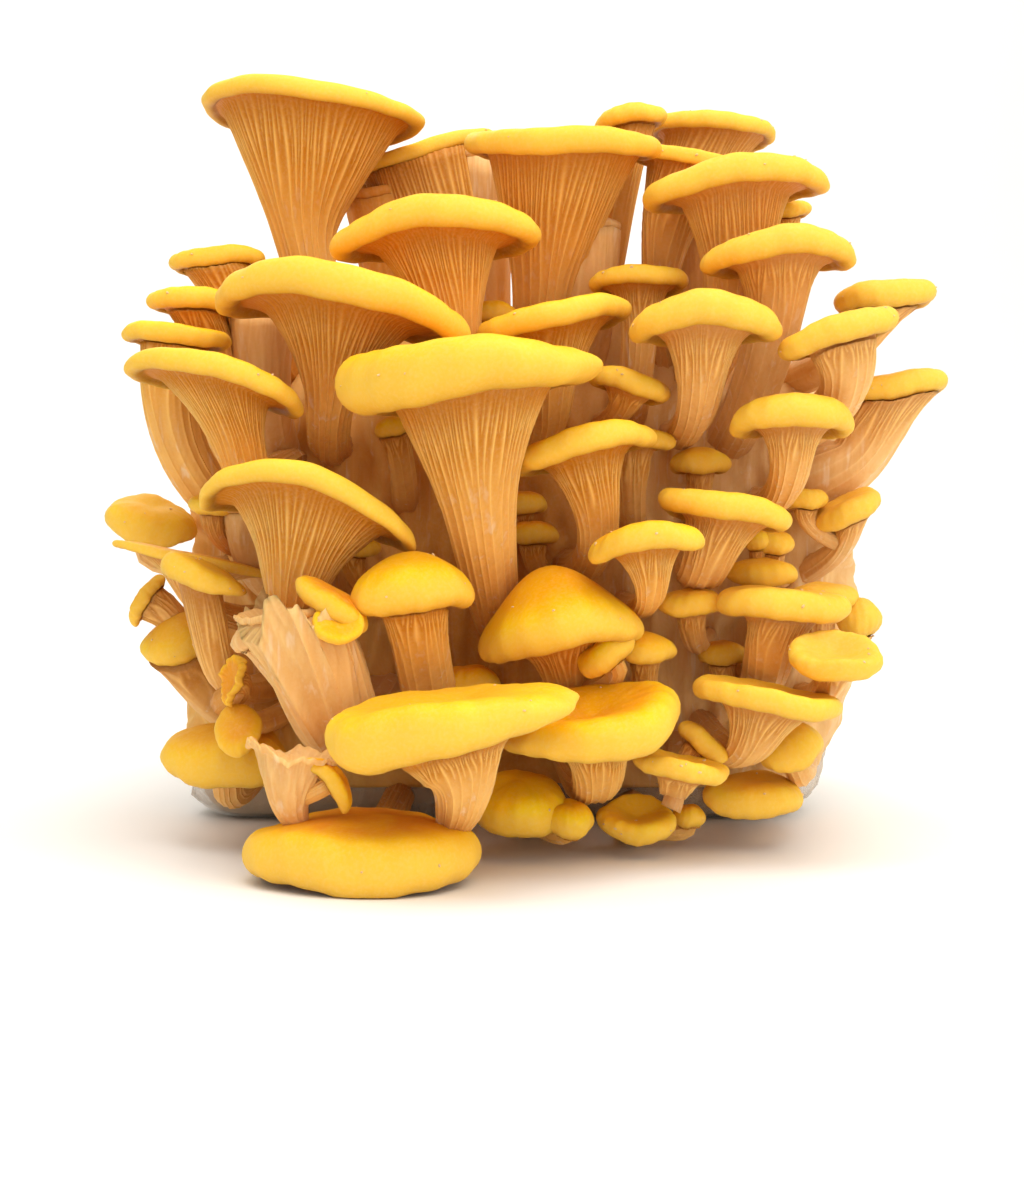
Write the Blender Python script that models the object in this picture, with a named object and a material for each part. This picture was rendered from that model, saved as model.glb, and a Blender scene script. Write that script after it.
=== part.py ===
"""A fruiting grow bag: a colonised sawdust block in a plain bag, with a flush of golden oyster mushrooms.

Metres, +Z up. The origin is the centre of the bag's flat underside. The mushrooms grow from the
open front of the block, which faces -Y, and from its top. The sizes in the tables are millimetres.
"""

import math
from typing import NamedTuple

import bmesh
import bpy
from mathutils import Matrix, Vector

MM = 0.001

# The block and its bag
BLOCK_WIDTH = 184.0
BLOCK_DEPTH = 118.0
BLOCK_HEIGHT = 122.0
UPRIGHT_CORNER = 16.0
BLOCK_CORNER = 9.0
SLUMP_HEIGHT = 46.0
SURE_FOOTING = 4.0
LEFT_SLUMP = 5.0
RIGHT_SLUMP = -12.0
FILM = 1.0
GAP = 0.3
FILM_EDGE_AT_BASE = 18.0
FILM_EDGE_AT_TOP = 52.0
FOLD_LENGTH = 128.0
FOLD_WIDTH = 20.0
FOLD_HEIGHT = 6.0

FRONT_FACE = -BLOCK_DEPTH / 2
TOP_FACE = FILM + GAP + BLOCK_HEIGHT

# Where the flush is looked at from, which turns a pixel of the picture into a line of sight
EYE = Vector((-3.5, FRONT_FACE - 500.0, 87.7))
EYE_PITCH = math.radians(2.4)
FOCAL_PIXELS = 1747.0
PICTURE_CENTRE = (512.0, 592.0)

# Facets round a mushroom, by the width of its cap
FACETS = ((60.0, 12), (44.0, 10), (20.0, 8), (0.0, 6))
SMALL_CAP = 39.0

# How far along its host's stem a branch leaves it
BRANCHES_AT = 0.8


class Root(NamedTuple):
    """Where a stem leaves what carries it, and which way it sets off."""

    place: Vector
    heading: Vector


def on_front(x, z):
    """A root on the open front of the block, which curves back at its upright corners."""
    past_flat = max(0.0, abs(x) - SURE_FOOTING - (BLOCK_WIDTH / 2 - UPRIGHT_CORNER))
    recess = UPRIGHT_CORNER - math.sqrt(UPRIGHT_CORNER**2 - past_flat**2)
    return Root(Vector((x, FRONT_FACE + recess - GAP, z)), Vector((0, -1, 0)))


def on_top(x, inward):
    """A root on the top of the block, so far in from its front face."""
    return Root(Vector((x, FRONT_FACE + inward, TOP_FACE + GAP)), Vector((0, 0, 1)))


def seen_at(pixel, ahead):
    """The point on a pixel's line of sight that lies so far ahead of the block's front face."""
    across = (pixel[0] - PICTURE_CENTRE[0]) / FOCAL_PIXELS
    up = (PICTURE_CENTRE[1] - pixel[1]) / FOCAL_PIXELS
    sight = Vector(
        (
            across,
            math.cos(EYE_PITCH) + up * math.sin(EYE_PITCH),
            up * math.cos(EYE_PITCH) - math.sin(EYE_PITCH),
        )
    )
    return EYE + sight * ((FRONT_FACE - ahead - EYE.y) / sight.y)


class Mushroom(NamedTuple):
    """One mushroom, grown as one piece: stem, gilled underside and cap."""

    name: str
    at: tuple  # the pixel of the middle of its cap
    ahead: float  # how far that point lies ahead of the block's front face
    width: float
    depth: float
    rim: float  # height of the rolled margin
    root: object  # a Root, or the name of the mushroom that it branches from
    drop: float  # from the cap's middle down to where the stem begins
    neck: float  # radius of the stem there
    foot: float = 3.0  # radius of the stem at its root
    back: float = 0.0  # degrees that the cap leans back from the picture
    right: float = 0.0  # degrees that the cap leans to the right
    dome: float = 1.5  # height of the middle above the margin, less than 0 for a hollow
    arch: float = 0.0  # how far the left and right ends hang below the middle
    flare: float = 1.7  # 1 is a straight cone under the cap, more is a trumpet
    inward: float = 0.3  # how far the stem stands behind the middle, in half depths
    aside: float = 0.0  # how far it stands to the right, in millimetres
    bend: float = 0.3  # how far the stem holds its first and last headings


MUSHROOMS = (
    # The crown, on tall stems from the top of the block
    Mushroom("crown_left", (310, 114), -2, 61, 48, 5.5, on_top(-50, 12), 31, 7.5, 6, back=6, right=5, flare=1.2),
    Mushroom("crown_second", (428, 157), -25, 42, 26, 4.5, on_top(-22, 38), 26, 8, 5.5, back=5, right=-12, flare=1.0),
    Mushroom("crown_middle", (563, 146), 14, 55, 42, 7, on_top(3, 12), 36, 11, 7.5, back=-8, right=1, flare=1.2,
             aside=-4),
    Mushroom("crown_back", (630, 122), -12, 22, 20, 5, on_top(24, 30), 32, 5.5, 5.2, back=4, right=-8, flare=1.4,
             aside=-5),
    Mushroom("crown_right", (712, 133), -28, 40, 27, 5, on_top(52, 46), 32, 7, 5, back=6, right=3, aside=-8),
    Mushroom("crown_shelf", (704, 156), 4, 26, 18, 4, on_top(42, 12), 16, 3.5, 3, back=0, right=10, aside=-3),
    Mushroom("crown_right_front", (733, 183), 24, 49, 36, 7.5, on_top(50, 7), 24, 6.5, 4.2, back=3, right=-6, arch=3,
             flare=1.2, inward=0.5),
    # The second tier
    Mushroom("arch", (438, 230), 32, 55, 36, 7.5, on_front(-14, 114), 24, 6.2, 4.5, back=8, right=-3, arch=3.5,
             flare=1.3, aside=3),
    Mushroom("left_shoulder", (342, 296), 47, 67, 46, 8.4, on_front(-54, 108), 24, 4.7, 4.5, back=4, right=9, arch=6,
             flare=1.4, inward=0.4),
    Mushroom("outer_left_top", (218, 262), 4, 28, 20, 5, on_top(-68, 24), 23, 6.5, 5, back=3, right=-4, aside=10,
             flare=1.3, inward=0.5, bend=0.2),
    Mushroom("outer_left_middle", (198, 304), 20, 29, 20, 5.5, on_front(-76, 114), 12, 4, 3.5, back=3, right=3, aside=4,
             inward=0.6),
    Mushroom("curved_stem", (176, 338), 30, 29, 20, 5, on_front(-77, 90), 17, 6.8, 6, back=2, right=5, aside=-1,
             bend=0.6),
    Mushroom("left_lip", (220, 376), 52, 45, 36, 6, on_front(-66, 104), 19, 6, 4, back=7, right=13, arch=4,
             aside=11),
    Mushroom("tall_right", (778, 256), 38, 39.5, 32, 6.6, on_front(58, 110), 13, 7, 5.5, back=3, right=-3, arch=3,
             aside=0),
    Mushroom("right_front", (703, 320), 52, 38.6, 32, 7.8, on_front(42, 112), 17, 4.8, 3.6, back=5, arch=3,
             inward=0.5),
    Mushroom("tucked_right", (640, 283), 16, 28, 20, 5, on_front(30, 116), 12, 4.5, 4, back=8),
    Mushroom("leaning_middle", (552, 323), 34, 43.5, 32, 6.5, on_front(3, 112), 20, 5.4, 4.5, back=3, right=-12,
             aside=-5),
    Mushroom("tucked_middle", (492, 316), 14, 15, 13, 5, on_front(-4, 118), 8, 3.2, 3, back=4, dome=2),
    Mushroom("outer_right", (840, 334), 50, 31.5, 24, 7, on_front(76, 112), 10, 6.5, 4.8, back=3, right=-17, flare=1.3,
             bend=0.2),
    Mushroom("outer_right_top", (887, 298), 22, 27, 20, 7, on_top(74, 14), 12, 6.5, 4.5, back=2, right=-5, aside=-9,
             flare=1.3),
    Mushroom("outer_right_fan", (898, 388), 12, 28, 22, 6.5, on_front(78, 99), 16, 7, 6, back=2, right=-8, aside=-10,
             flare=3.4),
    # The middle of the flush
    Mushroom("biggest", (471, 376), 70, 67, 54, 13, on_front(-6, 54), 30, 6.2, 4.4, right=-4, dome=1, aside=-1),
    Mushroom("tilted_left", (312, 494), 62, 57, 46, 5.8, on_front(-58, 60), 25, 5.8, 5, back=11, right=12, arch=8,
             flare=1.4),
    Mushroom("right_shelf", (793, 416), 48, 32.5, 26, 6.8, on_front(66, 93), 12, 4.2, 3.5, back=5, arch=3),
    Mushroom("middle_right", (582, 446), 54, 37, 30, 7, on_front(12, 74), 19, 4.8, 4.5, back=4, right=-14, arch=1.5),
    Mushroom("middle_right_back", (635, 440), 30, 21, 16, 5, on_front(32, 84), 13, 3.6, 3.2, back=2, right=4),
    Mushroom("under_biggest", (630, 386), 38, 22, 18, 5.5, on_front(22, 115), 5.5, 3.2, 3, back=3, right=17,
             bend=0.15),
    Mushroom("small_dome", (700, 465), 22, 17, 14, 5, on_front(50, 94), 8, 3, 2.5, dome=2.5),
    Mushroom("right_tilted", (724, 511), 50, 36, 30, 6.7, on_front(47, 82), 15, 5.6, 5, back=4, right=10, aside=-2),
    Mushroom("right_low_arch", (647, 539), 68, 30, 24, 6.5, on_front(28, 64), 13, 3.4, 3, back=3, right=-7, arch=2.5,
             bend=0.13),
    # The left edge
    Mushroom("far_left_lobe", (150, 522), 4, 27, 20, 5, on_front(-84, 74), 8, 3.5, 3, back=-22, right=9, inward=0.1),
    Mushroom("left_shelf", (197, 561), 33, 43, 20, 4, on_front(-74, 60), 8, 4, 3, back=-3, right=12),
    Mushroom("left_bud", (213, 506), 36, 13, 12, 4, on_front(-68, 78), 8, 2.6, 2.4, back=-8, right=6, dome=0.5),
    Mushroom("finger_pin", (392, 428), 26, 10, 9, 4, on_front(-34, 92), 9, 3.4, 3.4, back=-12, right=-14, dome=2),
    Mushroom("left_trumpet", (205, 578), 52, 23, 18, 6, on_front(-66, 43), 22, 5, 3.8, right=21, aside=3, flare=1.3,
             bend=0.15),
    Mushroom("left_ruffle", (172, 640), 20, 21, 18, 8, on_front(-76, 34), 15, 9, 8.5, back=-8, right=-8, aside=4,
             bend=0.45),
    Mushroom("ruffle_edge", (162, 602), 20, 17, 12, 5, "left_ruffle", 7, 3, 3, back=-10, right=-30),
    Mushroom("torn_scrap", (236, 680), 58, 9, 10, 4, "left_trumpet", 4.5, 2.6, 3.4, back=-30, right=-35),
    Mushroom("folded_lobe", (238, 730), 58, 12, 12, 8, on_front(-56, 42), 3.6, 2.8, 3, back=-24, right=-14, inward=0.85,
             bend=0.25),
    Mushroom("low_left_dome", (226, 758), 37, 34, 26, 8, on_front(-74, 20), 8, 4, 4, back=-10, right=3, dome=5),
    # The front of the flush, low down
    Mushroom("broken_trumpet", (292, 618), 72, 23, 17, 3, on_front(-40, 36), 20, 9, 7, right=-14, dome=-6, aside=5),
    Mushroom("broken_cap", (340, 617), 80, 13, 11, 6, "broken_trumpet", 6, 2.5, 2.5, back=-16, right=14),
    Mushroom("stout_dome", (413, 590), 72, 31, 26, 6, on_front(-24, 34), 13, 6.4, 6.4, right=-6, dome=7.5, inward=0.4),
    Mushroom("torn_small", (298, 752), 84, 20, 15, 3, Root(seen_at((300, 831), 80), Vector((0, 0, 1))), 11, 4.5, 2.6,
             right=6, dome=-4, inward=0, bend=0.3),
    Mushroom("front_long", (450, 721), 94, 58, 38, 12, Root(seen_at((454, 833), 82), Vector((0, 0, 1))), 14, 7.5, 3.6,
             back=-2, right=-11, dome=-2, inward=0.3, bend=0.3),
    Mushroom("lowest", (362, 855), 80, 56.5, 44, 11, on_front(-36, 7.5), 1, 4, 4, dome=-2.5, inward=0.9, bend=0.06),
    Mushroom("front_dome", (558, 628), 58, 43, 34, 7, on_front(14, 40), 15, 5.4, 5, right=-10, dome=10, inward=0.7),
    Mushroom("under_lobe", (610, 650), 60, 15, 14, 4, "front_dome", 4, 2.5, 2.5, back=-10, right=-38),
    Mushroom("dimpled", (592, 722), 70, 46.5, 34, 9.5, on_front(12, 24), 14, 6, 5, back=-12, right=-9, dome=-2),
    Mushroom("middle_bud", (645, 651), 50, 16, 14, 5, on_front(34, 40), 9, 3, 2.8, back=-6, dome=2.5),
    Mushroom("middle_shelf", (691, 604), 42, 17, 15, 5, on_front(52, 54), 8, 3, 3, back=-6, right=-4, dome=2),
    # The right edge
    Mushroom("right_ear", (848, 510), 20, 19, 15, 6, on_front(80, 73), 7, 4, 3.5, back=-10, right=-28, dome=1,
             aside=-3),
    Mushroom("right_ear_small", (806, 500), 20, 12, 10, 5, "right_ear", 6, 2.5, 2.5, dome=1),
    Mushroom("right_knob", (762, 574), 28, 20, 16, 5.5, on_front(66, 64), 7, 3, 3, back=-6, dome=2),
    Mushroom("right_knob_small", (758, 543), 24, 8.5, 8, 4, "right_knob", 5, 2, 2, dome=2),
    Mushroom("right_broad", (782, 605), 48, 35, 26, 7.5, on_front(66, 46), 13, 6, 5, right=4, aside=-2),
    Mushroom("right_behind", (824, 598), 28, 19, 15, 5.5, on_front(83, 52), 8, 3, 3, back=-4, dome=2),
    Mushroom("right_far_lobe", (859, 620), 28, 12, 12, 9, "right_behind", 6, 2.5, 2.5, right=-10, dome=2),
    Mushroom("right_dimpled", (835, 655), 61, 23.5, 18, 8, on_front(80, 37), 8, 3.6, 3.6, back=-28, dome=-3,
             inward=0.1, bend=0.15),
    Mushroom("right_hollow", (769, 697), 60, 39, 30, 6.6, on_front(50, 30), 14, 5, 3.8, right=9, dome=-2, aside=-2,
             bend=0.2),
    Mushroom("low_right_back", (791, 750), 42, 18, 16, 8, on_front(80, 21), 5, 3.2, 3.2, back=-10, right=-20, dome=4,
             bend=0.2),
    Mushroom("low_right", (753, 796), 38, 27, 22, 7.5, on_front(68, 9), 2, 3.2, 3.2, back=-8, dome=2, inward=0.7,
             bend=0.2),
    Mushroom("low_hollow", (681, 766), 62, 24.4, 19, 6, on_front(44, 25), 6, 3.5, 3.5, right=11, dome=-2, bend=0.3),
    Mushroom("low_hollow_lobe", (702, 742), 52, 15, 11, 5, "low_hollow", 6, 2.5, 2.5, right=40, dome=1),
    Mushroom("low_dish", (637, 819), 49, 20.5, 19, 7, on_front(31, 6), 3, 3.5, 3.5, back=-10, dome=-3, inward=0.5,
             bend=0.2),
    Mushroom("low_dish_side", (689, 817), 42, 9, 9, 5, "low_dish", 2, 2.2, 2.2, dome=1),
    Mushroom("low_fan", (520, 806), 54, 25, 22, 10, on_front(2, 8), 4, 4, 4, back=-20, dome=3, inward=0.5, bend=0.2),
    Mushroom("low_fan_side", (570, 821), 58, 13, 12, 7, "low_fan", 2, 2.5, 2.5, back=-10, dome=2),
)


def cap_frame(mushroom):
    """The cap's own axes as the columns of a matrix: to the right, towards the block, and up out of the cap."""
    lean_right = Matrix.Rotation(math.radians(mushroom.right), 3, "Y")
    lean_back = Matrix.Rotation(math.radians(-mushroom.back), 3, "X")
    return lean_right @ lean_back


def bezier(points, t):
    """The point and the heading at t along a cubic curve."""
    a, b, c, d = points
    s = 1 - t
    place = a * s**3 + b * 3 * s * s * t + c * 3 * s * t * t + d * t**3
    heading = (b - a) * s * s + (c - b) * 2 * s * t + (d - c) * t * t
    return place, heading.normalized()


class Growth:
    """Works out where each point of a mushroom's skin lies."""

    def __init__(self, mushroom, number, root):
        self.form = mushroom
        self.number = number
        self.axes = cap_frame(mushroom)
        self.middle = seen_at(mushroom.at, mushroom.ahead)
        self.neck_offset = Vector((mushroom.aside, mushroom.inward * mushroom.depth / 2, -mushroom.drop))
        neck = self.middle + self.axes @ self.neck_offset
        reach = (neck - root.place).length * mushroom.bend
        up = self.axes.col[2]
        self.spine = (root.place, root.place + root.heading * reach, neck - up * reach, neck)

    def stem_point(self, along, angle):
        """A point on the stem, from its root at 0 to the neck at 1."""
        place, heading = bezier(self.spine, along)
        turn = self.axes.col[2].rotation_difference(heading)
        radius = self.form.foot + (self.form.neck - self.form.foot) * along
        across = turn @ self.axes.col[0] * math.cos(angle) + turn @ self.axes.col[1] * math.sin(angle)
        return place + across * radius

    def cap_point(self, share, height, angle, from_neck=1.0):
        """A point at a share of the cap's half width and a height over its rim, centred on the stem at from_neck 0."""
        form = self.form
        ripple = 1 + share * (0.035 * math.cos(2 * angle + self.number) + 0.03 * math.cos(3 * angle + 2.3 * self.number))
        x = share * ripple * math.cos(angle) * form.width / 2
        y = share * ripple * math.sin(angle) * form.depth / 2
        z = height - form.arch * (share * math.cos(angle)) ** 2
        z += 0.06 * form.rim * share * math.cos(3 * angle + 1.7 * self.number)
        offset = Vector((self.neck_offset.x, self.neck_offset.y, 0)) * (1 - from_neck)
        return self.middle + self.axes @ (Vector((x, y, z)) + offset)

    def funnel_point(self, along, angle):
        """A point on the gilled underside, from the neck at 0 to the margin at 1."""
        form = self.form
        neck_x = form.neck / (form.width / 2)
        neck_y = form.neck / (form.depth / 2)
        neck_share = math.hypot(neck_x * math.cos(angle), neck_y * math.sin(angle))
        share = neck_share + (0.9 - neck_share) * along**form.flare
        height = -form.drop + (form.drop - 0.42 * form.rim) * along
        return self.cap_point(share, height, angle, from_neck=along)


def skin_rings(mushroom):
    """The rings of a mushroom's skin from root to crown, each a method of Growth and its first arguments."""
    rim, dome = mushroom.rim, mushroom.dome
    small = mushroom.width < SMALL_CAP
    rings = [("stem", 0.0), ("stem", 0.5), ("stem", 1.0)]
    if not small:
        rings.append(("funnel", 0.5))
    rings += [
        ("funnel", 0.86),
        ("cap", 0.975, -0.46 * rim),
        ("cap", 1.0, 0.02 * rim),
        ("cap", 0.86, 0.46 * rim),
    ]
    if not small:
        rings.append(("cap", 0.52, 0.5 * rim + 0.62 * dome))
    return rings


def tube_template(rings, facets):
    """A closed barrel: a profile of one vertex a ring, spun round Z, with a pole at each end."""
    mesh = bmesh.new()
    profile = [mesh.verts.new((0, 0, 0))]
    profile += [mesh.verts.new((1, 0, level + 1)) for level in range(rings)]
    profile.append(mesh.verts.new((0, 0, rings + 1)))
    edges = [mesh.edges.new(pair) for pair in zip(profile, profile[1:])]
    bmesh.ops.spin(
        mesh, geom=profile + edges, cent=(0, 0, 0), axis=(0, 0, 1), angle=math.tau, steps=facets, use_merge=True
    )
    bmesh.ops.remove_doubles(mesh, verts=mesh.verts, dist=1e-4)
    bmesh.ops.recalc_face_normals(mesh, faces=mesh.faces)
    return mesh


def facets_for(width):
    """How many facets go round a cap of this width."""
    return next(facets for at_least, facets in FACETS if width >= at_least)


def skin(name, growth, rings, ends, material):
    """Makes one closed skin through rings of a mushroom, from a first pole to a last."""
    mesh = tube_template(len(rings), facets_for(growth.form.width))
    for vert in mesh.verts:
        level = round(vert.co.z)
        angle = math.atan2(vert.co.y, vert.co.x)
        if 0 < level <= len(rings):
            kind, *values = rings[level - 1]
            place = getattr(growth, kind + "_point")(*values, angle)
        else:
            place = ends[0] if level == 0 else ends[1]
        vert.co = place * MM
    data = bpy.data.meshes.new(name)
    mesh.to_mesh(data)
    mesh.free()
    data.materials.append(material)
    data.shade_smooth()
    data.set_sharp_from_angle(angle=math.radians(60))
    made = bpy.data.objects.new(name, data)
    bpy.context.scene.collection.objects.link(made)
    return made


def grow(growth, material):
    """Makes one mushroom's object. A shallow cap takes its stem from the side, so the two are united."""
    form = growth.form
    rings = skin_rings(form)
    root = growth.spine[0]
    crown = growth.cap_point(0.0, 0.5 * form.rim + form.dome, 0.0)
    if form.drop >= form.rim:
        return skin(form.name, growth, rings, (root, crown), material)
    underside = growth.cap_point(0.0, -form.drop, 0.0, from_neck=0.0)
    cap = skin(form.name, growth, [ring for ring in rings if ring[0] != "stem"], (underside, crown), material)
    inside = growth.cap_point(0.0, 0.0, 0.0, from_neck=0.5)
    stem = skin(form.name + "_stem", growth, [ring for ring in rings if ring[0] == "stem"], (root, inside), material)
    unite(cap, stem)
    return cap


def branch_root(host, branch):
    """A root inside another mushroom's stem, for one that branches straight out of it."""
    place, _ = bezier(host.spine, BRANCHES_AT)
    return Root(place, (seen_at(branch.at, branch.ahead) - place).normalized())


def unite(host, addition):
    """Unites an addition with the object that it grows from, and keeps the addition as a hidden helper."""
    union = host.modifiers.new(addition.name, "BOOLEAN")
    union.operation = "UNION"
    union.object = addition
    addition.hide_render = True
    addition.display_type = "WIRE"


def principled(name, colour, roughness, metallic=0.0):
    """A plain material of one colour."""
    material = bpy.data.materials.new(name)
    material.use_nodes = True
    shader = material.node_tree.nodes["Principled BSDF"]
    shader.inputs["Base Color"].default_value = (*colour, 1.0)
    shader.inputs["Roughness"].default_value = roughness
    shader.inputs["Metallic"].default_value = metallic
    return material


def block_shape(outset, low, high):
    """The block's rounded and slightly slumped form, grown outwards by an outset, between two heights."""
    mesh = bmesh.new()
    bmesh.ops.create_cube(mesh, size=1.0)
    bmesh.ops.scale(mesh, vec=(BLOCK_WIDTH + 2 * outset, BLOCK_DEPTH + 2 * outset, high - low), verts=mesh.verts)
    bmesh.ops.translate(mesh, vec=(0, 0, (low + high) / 2), verts=mesh.verts)
    upright = [edge for edge in mesh.edges if abs(edge.verts[0].co.z - edge.verts[1].co.z) > outset + 1]
    bmesh.ops.bevel(
        mesh, geom=upright, offset=UPRIGHT_CORNER + outset, segments=3, profile=0.5, affect="EDGES", material=-1
    )
    level = [edge for edge in mesh.edges if abs(edge.verts[0].co.z - edge.verts[1].co.z) < 1e-3]
    bmesh.ops.bevel(
        mesh, geom=level, offset=BLOCK_CORNER + outset, segments=2, profile=0.5, affect="EDGES", material=-1
    )
    for vert in mesh.verts:
        slump = RIGHT_SLUMP if vert.co.x > 0 else -LEFT_SLUMP
        sideways = min(1.0, abs(vert.co.x) / (BLOCK_WIDTH / 2))
        vert.co.x += slump * sideways * max(0.0, 1 - vert.co.z / SLUMP_HEIGHT)
    return mesh


def add_object(name, mesh, material):
    """Links a bmesh in millimetres into the scene as an object in metres."""
    bmesh.ops.scale(mesh, vec=(MM, MM, MM), verts=mesh.verts)
    data = bpy.data.meshes.new(name)
    mesh.to_mesh(data)
    mesh.free()
    data.materials.append(material)
    made = bpy.data.objects.new(name, data)
    bpy.context.scene.collection.objects.link(made)
    return made


def build_block(material):
    """The colonised sawdust block, a gap inside its film."""
    mesh = block_shape(0.0, FILM + GAP, TOP_FACE)
    return add_object("substrate_block", mesh, material)


def build_bag(material):
    """The film round the block's back, sides, base and top, cut open along a sloping edge at the front."""
    outer = block_shape(FILM + GAP, 0.0, TOP_FACE + FILM + GAP)
    inner = block_shape(GAP, FILM, TOP_FACE + GAP)
    opening_low = Vector((0, FRONT_FACE + FILM_EDGE_AT_BASE, 0))
    opening_high = Vector((0, FRONT_FACE + FILM_EDGE_AT_TOP, TOP_FACE))
    along = (opening_high - opening_low).normalized()
    facing = Vector((1, 0, 0)).cross(along)
    for mesh in (outer, inner):
        bmesh.ops.bisect_plane(
            mesh,
            geom=mesh.verts[:] + mesh.edges[:] + mesh.faces[:],
            plane_co=opening_low,
            plane_no=facing,
            clear_outer=True,
        )
    bmesh.ops.reverse_faces(inner, faces=inner.faces)
    joined = bmesh.new()
    for mesh in (outer, inner):
        data = bpy.data.meshes.new("half")
        mesh.to_mesh(data)
        joined.from_mesh(data)
        bpy.data.meshes.remove(data)
        mesh.free()
    rims = [edge for edge in joined.edges if edge.is_boundary]
    bmesh.ops.bridge_loops(joined, edges=rims)
    bag = add_object("grow_bag", joined, material)
    fold = bmesh.new()
    bmesh.ops.create_cube(fold, size=1.0)
    bmesh.ops.scale(fold, vec=(FOLD_LENGTH, FOLD_WIDTH, FOLD_HEIGHT + FILM), verts=fold.verts)
    bmesh.ops.bevel(fold, geom=fold.edges, offset=2.0, segments=1, profile=0.5, affect="EDGES", material=-1)
    fold_middle = TOP_FACE + GAP + FILM / 2 + (FOLD_HEIGHT + FILM) / 2
    bmesh.ops.translate(fold, vec=(0, BLOCK_DEPTH / 2 - 30.0, fold_middle), verts=fold.verts)
    folded_top = add_object("folded_top", fold, material)
    unite(bag, folded_top)
    return bag


def main():
    for leftover in list(bpy.data.objects):
        bpy.data.objects.remove(leftover, do_unlink=True)
    golden = principled("golden_flesh", (0.86, 0.50, 0.10), 0.5)
    film = principled("clear_film", (0.72, 0.66, 0.58), 0.25)
    sawdust = principled("colonised_sawdust", (0.52, 0.36, 0.22), 0.9)
    build_block(sawdust)
    build_bag(film)
    growths = {}
    for number, mushroom in enumerate(MUSHROOMS):
        branches = isinstance(mushroom.root, str)
        root = branch_root(growths[mushroom.root], mushroom) if branches else mushroom.root
        growths[mushroom.name] = Growth(mushroom, number, root)
        grown = grow(growths[mushroom.name], golden)
        if branches:
            unite(bpy.data.objects[mushroom.root], grown)


main()
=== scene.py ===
"""A fruiting grow bag with a flush of golden oyster mushrooms.

Every mushroom, the block that they grow from and the clear film round it, with a pale floor, soft light
and a camera. The sizes in the classes and tables are millimetres unless they say otherwise.
"""

import logging
import math
from dataclasses import dataclass, field, replace
from enum import Enum
from typing import Any, NamedTuple, Optional, Sequence, Union

import bmesh
import bpy
import numpy as np
from mathutils import Matrix, Vector, noise


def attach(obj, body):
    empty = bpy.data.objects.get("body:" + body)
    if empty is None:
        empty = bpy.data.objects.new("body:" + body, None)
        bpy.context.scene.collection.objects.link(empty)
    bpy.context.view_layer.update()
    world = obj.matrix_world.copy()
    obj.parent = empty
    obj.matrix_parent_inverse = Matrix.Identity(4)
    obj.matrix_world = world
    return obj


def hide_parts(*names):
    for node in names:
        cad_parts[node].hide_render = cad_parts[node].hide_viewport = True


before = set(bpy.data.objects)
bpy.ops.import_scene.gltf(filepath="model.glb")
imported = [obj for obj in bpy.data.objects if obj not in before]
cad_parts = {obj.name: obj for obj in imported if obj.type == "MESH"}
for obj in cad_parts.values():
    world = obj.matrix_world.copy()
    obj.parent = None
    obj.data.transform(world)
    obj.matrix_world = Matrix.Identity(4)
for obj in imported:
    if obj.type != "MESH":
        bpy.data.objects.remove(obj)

logging.basicConfig(level=logging.INFO, format="%(message)s")
log = logging.getLogger("grow_bag")

MM = 0.001
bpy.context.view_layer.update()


class Slot(Enum):
    """The finishes that the object's record names."""

    FLESH = "golden_flesh"
    FILM = "clear_film"
    SAWDUST = "colonised_sawdust"


# Colour and shader helpers


def tint(code: str) -> tuple[float, float, float, float]:
    """Turns a screen colour into the linear colour that shaders take.

    Args:
        code: The colour as six hexadecimal digits.

    Returns:
        Red, green, blue and an opacity of 1.
    """
    parts = [int(code[at : at + 2], 16) / 255 for at in (0, 2, 4)]
    linear = [part / 12.92 if part <= 0.04045 else ((part + 0.055) / 1.055) ** 2.4 for part in parts]
    return (linear[0], linear[1], linear[2], 1.0)


class Wire:
    """One output of a shader node, which takes part in Python sums."""

    def __init__(self, sheet: "Sheet", output: bpy.types.NodeSocket) -> None:
        """Keeps the node sheet and the output that this wire leaves."""
        self.sheet = sheet
        self.output = output

    def _sum(self, operation: str, *values: Union["Wire", float]) -> "Wire":
        """Adds a Math node on the given values."""
        return self.sheet.node("ShaderNodeMath", {"operation": operation}, dict(enumerate(values)))

    def __add__(self, other: Union["Wire", float]) -> "Wire":
        """This plus another."""
        return self._sum("ADD", self, other)

    __radd__ = __add__

    def __sub__(self, other: Union["Wire", float]) -> "Wire":
        """This minus another."""
        return self._sum("SUBTRACT", self, other)

    def __rsub__(self, other: float) -> "Wire":
        """A number minus this."""
        return self._sum("SUBTRACT", other, self)

    def __mul__(self, other: Union["Wire", float]) -> "Wire":
        """This times another."""
        return self._sum("MULTIPLY", self, other)

    __rmul__ = __mul__

    def __truediv__(self, other: Union["Wire", float]) -> "Wire":
        """This over another."""
        return self._sum("DIVIDE", self, other)

    def __pow__(self, other: float) -> "Wire":
        """This to a power."""
        return self._sum("POWER", self, other)

    def step(self, low: float, high: float) -> "Wire":
        """Rises smoothly from 0 to 1 between two values of this wire.

        Args:
            low: The value that gives 0.
            high: The value that gives 1.

        Returns:
            The smoothed wire.
        """
        settings = {"interpolation_type": "SMOOTHSTEP"}
        return self.sheet.node("ShaderNodeMapRange", settings, {0: self, 1: low, 2: high})


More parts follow.
